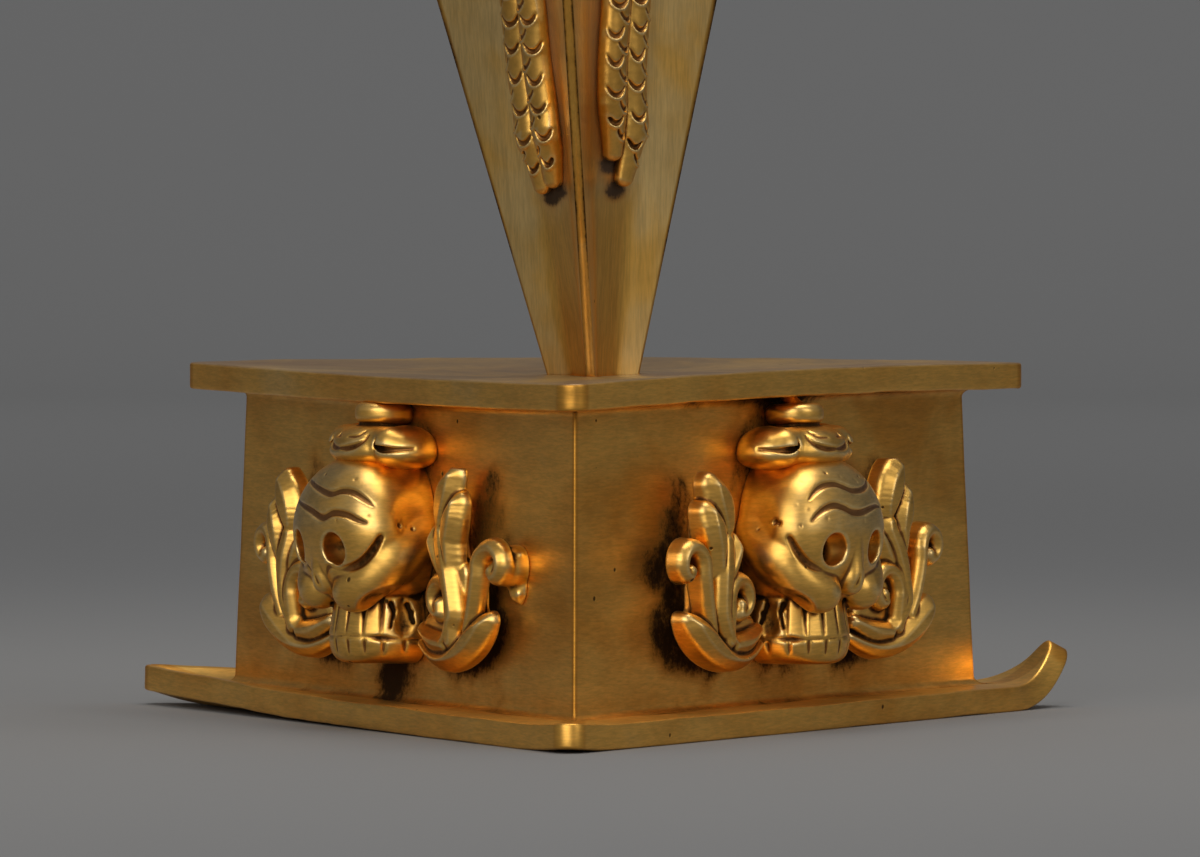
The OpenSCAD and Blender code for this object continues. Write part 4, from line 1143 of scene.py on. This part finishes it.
def blade_grime(pts):
    """Dark residue at the ends of the nagas' tails and in the valleys."""
    total = np.zeros(len(pts))
    z = pts[:, 2]
    for valley, turn in VALLEYS.items():
        ahead, across, _ = around(pts, -FRONT - turn).T
        below = 0.3 * np.exp(-np.clip(39.5 - z, 0, 30) / 3.5) * np.exp(-((np.abs(across) / 2.4) ** 2))
        beside = 0.42 * np.exp(-np.clip(np.abs(across) - 3.4, 0, 9) / 1.1)
        soot = np.where(z > 39.5, beside, below)
        for hand, tail in zip((-1, 1), NAGA_TAILS[valley]):
            end = 1.7 * np.exp(-(((z - tail + 1.25) / 1.0) ** 2) - ((across - hand * 0.8) / 2.3) ** 2)
            soot = np.maximum(soot, end)
        total = np.maximum(total, np.where(ahead > 0, soot, 0))
    return np.clip(0.8 * total + 0.08 * bumps(pts, 6.0, 51), 0, 1)


class PHURBA_OT_nagas(bpy.types.Operator):
    """Pairs of scaled nagas in the three valleys of the blade"""

    bl_idname = "phurba.nagas"
    bl_label = "Nagas"

    def execute(self, context):
        for valley, turn in VALLEYS.items():
            place = on_dagger() @ Matrix.Rotation(math.radians(turn), 4, "Z")
            piece = sculpt_nagas(int(turn) + 90, NAGA_TAILS[valley]).cast(f"scaled_nagas_{valley}", place)
            finish_piece(piece, f"naga_pair_{valley}", "dagger", "carved_gilding")
        return {"FINISHED"}


class PHURBA_OT_handle(bpy.types.Operator):
    """Makara head, lotus collars, knots, grip and half vajra"""

    bl_idname = "phurba.handle"
    bl_label = "Handle"

    def execute(self, context):
        for look, node, low, clay in (
            ("carved", "makara_head", BLADE_LEN, sculpt_makara()),
            ("petalled", "lower_lotus", 110.0, sculpt_lotus(True)),
            ("woven", "lower_knot", 116.0, sculpt_knot()),
            ("fluted", "grip", 128.0, sculpt_grip()),
            ("woven", "upper_knot", 158.0, sculpt_knot()),
            ("petalled", "upper_lotus", 170.0, sculpt_lotus(False)),
            ("pronged", "half_vajra", 176.0, sculpt_vajra()),
        ):
            piece = clay.cast(f"{look}_{node}", on_dagger() @ Matrix.Translation((0, 0, low)))
            finish_piece(piece, node, "dagger", "handle_gilding")
        return {"FINISHED"}


# Materials


def node(tree, kind, **values):
    """New shader node. Keys that name no property of the node are its sockets: a value or a link."""
    made = tree.nodes.new(kind)
    for key, value in values.items():
        if hasattr(made, key):
            setattr(made, key, value)
        else:
            feed(tree, made.inputs[int(key[1:])], value)
    return made


def feed(tree, socket, value):
    """Links a socket to another one, or sets its value."""
    if isinstance(value, bpy.types.NodeSocket):
        tree.links.new(value, socket)
    else:
        socket.default_value = value


def feed_all(tree, sockets, values):
    """Feeds sockets by their names."""
    for label, value in values.items():
        feed(tree, sockets[label], value)


def maths(tree, operation, a, b=0.0, c=0.0, clamp=False):
    """Result of a sum on one to three values."""
    return node(tree, "ShaderNodeMath", operation=operation, use_clamp=clamp, _0=a, _1=b, _2=c).outputs[0]


def between(tree, value, low, high, to_low=0.0, to_high=1.0):
    """Smooth step from one value to another."""
    made = node(tree, "ShaderNodeMapRange", interpolation_type="SMOOTHSTEP", _0=value, _1=low, _2=high,
                _3=to_low, _4=to_high)
    return made.outputs[0]


def colour_mix(tree, share, a, b, blend="MIX"):
    """Colour a with a share of colour b."""
    return node(tree, "ShaderNodeMix", data_type="RGBA", blend_type=blend, _0=share, _6=a, _7=b).outputs[2]


def surface_points(tree, stretch=(1.0, 1.0, 1.0)):
    """Points of the surface in metres, with each axis multiplied by its own number."""
    where = tree.nodes.new("ShaderNodeTexCoord").outputs["Object"]
    return node(tree, "ShaderNodeVectorMath", operation="MULTIPLY", _0=where, _1=stretch).outputs[0]


def noise(tree, points, scale, detail=3.0, rough=0.55, twist=0.0):
    """Clouds between 0 and 1 at points of the surface."""
    made = tree.nodes.new("ShaderNodeTexNoise")
    feed_all(tree, made.inputs, {"Vector": points, "Scale": scale, "Detail": detail, "Roughness": rough,
                                 "Distortion": twist})
    return made.outputs["Fac"]


def effect(**inputs):
    """Makes a function that wires a shared effect return its node group, which is built once."""

    def wrap(wire):
        @functools.wraps(wire)
        def group():
            name = wire.__name__
            if name in bpy.data.node_groups:
                return bpy.data.node_groups[name]
            tree = bpy.data.node_groups.new(name, "ShaderNodeTree")
            for label, value in inputs.items():
                kind = {3: "Vector", 4: "Color"}[len(value)] if isinstance(value, tuple) else "Float"
                socket = tree.interface.new_socket(label, in_out="INPUT", socket_type=f"NodeSocket{kind}")
                socket.default_value = value
            results = wire(tree, tree.nodes.new("NodeGroupInput").outputs)
            for label, value in results.items():
                kind = "Color" if value.type == "RGBA" else "Float"
                tree.interface.new_socket(label, in_out="OUTPUT", socket_type=f"NodeSocket{kind}")
            feed_all(tree, tree.nodes.new("NodeGroupOutput").inputs, results)
            return tree

        return group

    return wrap


@effect(Stretch=(1.0, 1.0, 8.0), Depth=0.006)
def brushed_grain(tree, given):
    """Fine scratches left by filing and rubbing, along the axis with the smallest stretch."""
    points = surface_points(tree, given["Stretch"])
    fine = noise(tree, points, 620.0, 2.0, 0.7)
    broad = noise(tree, points, 150.0, 3.0, 0.6, 0.4)
    tone = maths(tree, "MULTIPLY_ADD", fine, 0.6, maths(tree, "MULTIPLY", broad, 0.4))
    return {"Height": maths(tree, "MULTIPLY", tone, given["Depth"]), "Tone": tone}


@effect(Depth=0.03)
def cast_surface(tree, given):
    """Soft unevenness of metal that was cast and beaten by hand."""
    points = surface_points(tree)
    height = maths(tree, "MULTIPLY", noise(tree, points, 260.0, 2.0, 0.5), given["Depth"])
    return {"Height": height, "Clouds": noise(tree, points, 75.0, 4.0, 0.6, 0.6)}


@effect(Share=0.1, Size=0.13)
def pin_holes(tree, given):
    """Scattered small blowholes of the casting."""
    cells = tree.nodes.new("ShaderNodeTexVoronoi")
    feed_all(tree, cells.inputs, {"Vector": surface_points(tree), "Scale": 520.0})
    chance = node(tree, "ShaderNodeSeparateColor", _0=cells.outputs["Color"])
    chosen = maths(tree, "LESS_THAN", chance.outputs[0], given["Share"])
    size = maths(tree, "MULTIPLY", given["Size"], maths(tree, "ADD", chance.outputs[1], 0.35))
    hole = between(tree, maths(tree, "DIVIDE", cells.outputs["Distance"], size), 1.1, 0.55)
    return {"Mask": maths(tree, "MULTIPLY", hole, chosen)}


@effect(Thin=0.0, Wide=0.0, Grime=0.0)
def dark_residue(tree, given):
    """Black-brown residue that years of rubbing left only in the recesses, with the painted shade that its grime input
    carries.
    """
    points = surface_points(tree)
    grains = maths(tree, "SUBTRACT", noise(tree, points, 1500.0, 3.0, 0.75), 0.5)
    patches = maths(tree, "SUBTRACT", noise(tree, points, 330.0, 3.0, 0.6), 0.5)
    total = maths(tree, "MULTIPLY_ADD", given["Thin"], 0.5, given["Grime"])
    total = maths(tree, "MULTIPLY_ADD", given["Wide"], 0.42, total)
    total = maths(tree, "MULTIPLY_ADD", patches, 0.55, total)
    grainy = maths(tree, "MULTIPLY_ADD", grains, 0.75, total)
    return {"Mask": between(tree, grainy, 0.48, 0.86), "Stain": between(tree, total, 0.12, 0.62),
            "Soot": between(tree, total, 0.3, 1.0)}


WHITE = (1.0, 1.0, 1.0, 1.0)


@effect(Gold=WHITE, Browned=WHITE, Cut=WHITE, Rubbed=WHITE, Worn=0.0, Clouds=0.5, Tone=0.5, Hollow=0.0, Stain=0.0,
        Soot=0.0)
def gold_tone(tree, given):
    """Colour of the gilding: browned by handling and, at corners, by painted shade; reddish in cuts; pale on rubbed
    edges as wear and painted highlight; darkened by soot that is partly painted shadow.
    """
    cloudy = maths(tree, "MULTIPLY_ADD", maths(tree, "SUBTRACT", given["Clouds"], 0.5), 1.6, given["Worn"])
    browned = maths(tree, "MAXIMUM", between(tree, cloudy, 0.0, 1.0), maths(tree, "MULTIPLY", given["Stain"], 0.9))
    ridge = maths(tree, "MULTIPLY", given["Hollow"], -1.0)
    colour = given["Gold"]
    for share, over in ((browned, given["Browned"]),
                        (between(tree, cloudy, -0.1, -0.9, 0.0, 0.6), given["Rubbed"]),
                        (between(tree, ridge, 0.25, 0.95, 0.0, 0.6), given["Rubbed"]),
                        (between(tree, given["Hollow"], 0.12, 0.6, 0.0, 0.85), given["Cut"]),
                        (maths(tree, "MULTIPLY", given["Soot"], 0.85), (0.16, 0.07, 0.018, 1))):
        colour = colour_mix(tree, share, colour, over)
    streak = between(tree, given["Tone"], 0.3, 0.7, 0.84, 1.12)
    grey = node(tree, "ShaderNodeCombineColor", _0=streak, _1=streak, _2=streak).outputs[0]
    return {"Colour": colour_mix(tree, 1.0, colour, grey, "MULTIPLY")}


def placed(tree, group, **values):
    """Outputs of a shared effect put into a material."""
    made = node(tree, "ShaderNodeGroup", node_tree=group)
    feed_all(tree, made.inputs, values)
    return made.outputs


def bumped(tree, height):
    """Normal of a surface with a height in millimetres."""
    bump = tree.nodes.new("ShaderNodeBump")
    feed_all(tree, bump.inputs, {"Distance": MM, "Height": height})
    return bump.outputs["Normal"]


def new_material(name):
    """Material with its node tree and the inputs of its shader."""
    material = bpy.data.materials.new(name)
    material.use_nodes = True
    return material, material.node_tree, material.node_tree.nodes["Principled BSDF"].inputs


# Finishes of the gilding: stretch of the grain, its depth, blowholes, extra browning, roughness.
FINISHES = {
    "plate_gilding": ((1.0, 1.0, 7.0), 0.014, 0.06, 0.04, 0.40),
    "blade_gilding": ((6.0, 6.0, 0.5), 0.008, 0.03, 0.05, 0.33),
    "carved_gilding": ((1.5, 1.5, 1.5), 0.010, 0.05, 0.22, 0.34),
    "ornament_gilding": ((1.2, 1.2, 5.0), 0.011, 0.10, 0.05, 0.33),
    "handle_gilding": ((1.5, 1.5, 3.0), 0.008, 0.05, 0.10, 0.32),
    "bare_brass": ((1.0, 1.0, 6.0), 0.012, 0.03, 0.30, 0.40),
}
DUSTY = ("plate_gilding", "blade_gilding")


def gilding(name):
    """Gilded brass, browned where it is handled and black in its recesses, with the painted shade and painted highlight
    of its marks.
    """
    label = f"aged_{name}"
    if label in bpy.data.materials:
        return bpy.data.materials[label]
    stretch, depth, holes, browning, rough = FINISHES[name]
    material, tree, shader = new_material(label)
    s = settings()
    gold, browned, cut, rubbed, black, dusty = (
        (*colour, 1) for colour in (s.gold, s.browned, s.cut, s.rubbed, s.residue, s.dust))

    def mark(label):
        return node(tree, "ShaderNodeAttribute", attribute_name=label).outputs["Fac"]

    thin = mark("thin_hollow")
    grain = placed(tree, brushed_grain(), Stretch=stretch, Depth=depth)
    casting = placed(tree, cast_surface(), Depth=0.05)
    pits = placed(tree, pin_holes(), Share=holes)["Mask"]
    residue = placed(tree, dark_residue(), Thin=thin, Wide=mark("wide_hollow"), Grime=mark("grime"))
    tone = placed(tree, gold_tone(), Gold=gold, Browned=browned, Cut=cut, Rubbed=rubbed,
                  Worn=maths(tree, "ADD", mark("worn"), browning), Clouds=casting["Clouds"], Tone=grain["Tone"],
                  Hollow=thin, Stain=residue["Stain"], Soot=residue["Soot"])
    # Residue, blowholes and painted shade from the grime marks all darken the colour here.
    dirt = maths(tree, "MAXIMUM", residue["Mask"], maths(tree, "MULTIPLY", pits, 0.9))
    colour = colour_mix(tree, dirt, tone["Colour"], black)
    metallic = 1.0
    if name in DUSTY:
        dust = maths(tree, "MULTIPLY", mark("dust"), between(tree, casting["Clouds"], 0.2, 0.6, 0.5, 0.85))
        colour = colour_mix(tree, dust, colour, dusty)
        metallic = maths(tree, "MULTIPLY_ADD", dust, -0.7, 1.0)
    dull = maths(tree, "MULTIPLY_ADD", residue["Stain"], 0.12, rough)
    dull = maths(tree, "MULTIPLY_ADD", maths(tree, "SUBTRACT", casting["Clouds"], 0.5), 0.25, dull)
    height = maths(tree, "ADD", grain["Height"], casting["Height"])
    feed_all(tree, shader, {
        "Metallic": metallic,
        "Base Color": colour,
        "Roughness": maths(tree, "MULTIPLY_ADD", dirt, 0.3, dull, clamp=True),
        "Normal": bumped(tree, maths(tree, "MULTIPLY_ADD", pits, -0.06, height)),
    })
    return material


def tang_steel():
    """Dark forged steel of the rod inside the handle, with a little rust."""
    material, tree, shader = new_material("forged_tang_steel")
    grain = placed(tree, brushed_grain(), Stretch=(5.0, 5.0, 0.5), Depth=0.02)
    rust = between(tree, placed(tree, cast_surface())["Clouds"], 0.52, 0.7)
    feed_all(tree, shader, {
        "Metallic": 1.0,
        "Base Color": colour_mix(tree, rust, (0.22, 0.21, 0.20, 1), (0.17, 0.07, 0.03, 1)),
        "Roughness": maths(tree, "MULTIPLY_ADD", rust, 0.35, 0.4),
        "Normal": bumped(tree, grain["Height"]),
    })
    return material


def backdrop_paper():
    """Grey paper, clear from behind, with painted light and shade: darker some way from the object and lighter again
    far from it, up the backdrop.
    """
    s = settings()
    material, tree, shader = new_material("backdrop_paper")
    where = tree.nodes.new("ShaderNodeTexCoord").outputs["Object"]
    away = node(tree, "ShaderNodeVectorMath", operation="LENGTH", _0=where).outputs["Value"]
    # Painted shade on the floor some way off, and painted light up the backdrop, for the lamps' falloff.
    dim = [0.55 * c for c in s.backdrop]
    near = colour_mix(tree, between(tree, away, 0.04, 0.38), (*s.floor, 1), (*dim, 1))
    behind = tree.nodes.new("ShaderNodeNewGeometry").outputs["Backfacing"]
    feed_all(tree, shader, {
        "Base Color": colour_mix(tree, between(tree, away, 0.4, 1.2), near, (*s.backdrop, 1)),
        "Alpha": maths(tree, "SUBTRACT", 1.0, behind),
        "Roughness": 0.85,
    })
    return material


# Stage

# Place, size and power of each lamp, in metres and watts.
SOFTBOXES = (
    ("key_softbox", (-0.5, -1.25, 0.75), (1.3, 1.1), 8.5),
    ("front_softbox", (-0.25, -1.6, 0.3), (1.2, 0.7), 2.5),
    ("right_softbox", (1.1, -0.8, 0.7), (0.8, 0.9), 3.0),
    ("top_softbox", (0.1, 0.1, 1.2), (1.0, 0.8), 8.0),
)

# The photo's camera: degrees to the right and up, metres away, and the point it looks at in millimetres.
CAMERA_AZIMUTH, CAMERA_ELEVATION, CAMERA_DISTANCE = 2.545, 1.957, 1.231
CAMERA_TARGET = (0.584, 0.026, 31.16)


def stand_at(name, data, place, way):
    """Lamp or camera at a place in metres that looks along a way."""
    thing = bpy.data.objects.new(name, data)
    thing.location = place
    thing.rotation_euler = way.to_track_quat("-Z", "Y").to_euler()
    bpy.context.scene.collection.objects.link(thing)
    return thing


class PHURBA_OT_stage(bpy.types.Operator):
    """Floor, backdrop, lamps and camera"""

    bl_idname = "phurba.stage"
    bl_label = "Stage"

    def execute(self, context):
        scene = bpy.context.scene
        scene.view_settings.view_transform = "Standard"
        wide, deep, tall, bend = 3.0, 1.6, 1.6, 0.5
        profile = [(-deep, 0.0), (0.0, 0.0), (deep - bend, 0.0)]
        profile += [(deep - bend + bend * math.sin(a), bend - bend * math.cos(a)) for a in np.radians(range(5, 91, 5))]
        profile += [(deep, tall)]
        pts, quads = loft([np.array([(x, y, z) for y, z in profile]) / MM for x in (wide, -wide)], closed=False)
        floor = make_mesh("backdrop_sweep", pts, quads)
        floor.data.materials.append(backdrop_paper())
        scene.world = bpy.data.worlds.new("studio")
        scene.world.use_nodes = True
        background = scene.world.node_tree.nodes["Background"].inputs
        feed_all(scene.world.node_tree, background, {"Color": (0.21, 0.21, 0.212, 1), "Strength": 1.0})
        for name, place, (across, along), power in SOFTBOXES:
            lamp = bpy.data.lights.new(name, "AREA")
            lamp.shape, lamp.size, lamp.size_y, lamp.energy = "RECTANGLE", across, along, power
            stand_at(name, lamp, Vector(place), Vector((0, 0, 0.04)) - Vector(place))
        azimuth, elevation = math.radians(CAMERA_AZIMUTH), math.radians(CAMERA_ELEVATION)
        back = Vector((math.sin(azimuth) * math.cos(elevation), -math.cos(azimuth) * math.cos(elevation),
                       math.sin(elevation)))
        lens = bpy.data.cameras.new("camera")
        lens.sensor_width, lens.lens = 36.0, 346.2
        lens.clip_start, lens.clip_end = 0.05, 20.0
        scene.camera = stand_at("camera", lens, Vector(CAMERA_TARGET) * MM + CAMERA_DISTANCE * back, -back)
        return {"FINISHED"}


class PHURBA_PT_sidebar(bpy.types.Panel):
    """Sizes, colours and makers of the dagger and its stand"""

    bl_idname = "PHURBA_PT_sidebar"
    bl_label = "Phurba and stand"
    bl_space_type = "VIEW_3D"
    bl_region_type = "UI"
    bl_category = "Phurba"

    def draw(self, context):
        for label in PhurbaSettings.__annotations__:
            self.layout.prop(context.scene.phurba, label)
        for kind in OPERATORS:
            self.layout.operator(kind.bl_idname)


OPERATORS = (
    PHURBA_OT_stage,
    PHURBA_OT_base_plate,
    PHURBA_OT_stand_wall,
    PHURBA_OT_top_plate,
    PHURBA_OT_skulls,
    PHURBA_OT_blade,
    PHURBA_OT_nagas,
    PHURBA_OT_handle,
)
CLASSES = (PhurbaSettings, *OPERATORS, PHURBA_PT_sidebar)


def register():
    """Makes the settings, the operators and the panel known to Blender."""
    for kind in CLASSES:
        bpy.utils.register_class(kind)
    bpy.types.Scene.phurba = bpy.props.PointerProperty(type=PhurbaSettings)


def unregister():
    """Takes back what register did."""
    del bpy.types.Scene.phurba
    for kind in reversed(CLASSES):
        bpy.utils.unregister_class(kind)


def main():
    """Builds every piece and the stage."""
    register()
    for make in (bpy.ops.phurba.stage, bpy.ops.phurba.base_plate, bpy.ops.phurba.stand_wall,
                 bpy.ops.phurba.top_plate, bpy.ops.phurba.skulls, bpy.ops.phurba.blade, bpy.ops.phurba.nagas,
                 bpy.ops.phurba.handle):
        make()
    paint("fixing_pins", gilding("bare_brass"))
    paint("tang_rod", tang_steel())


if __name__ == "__main__":
    main()
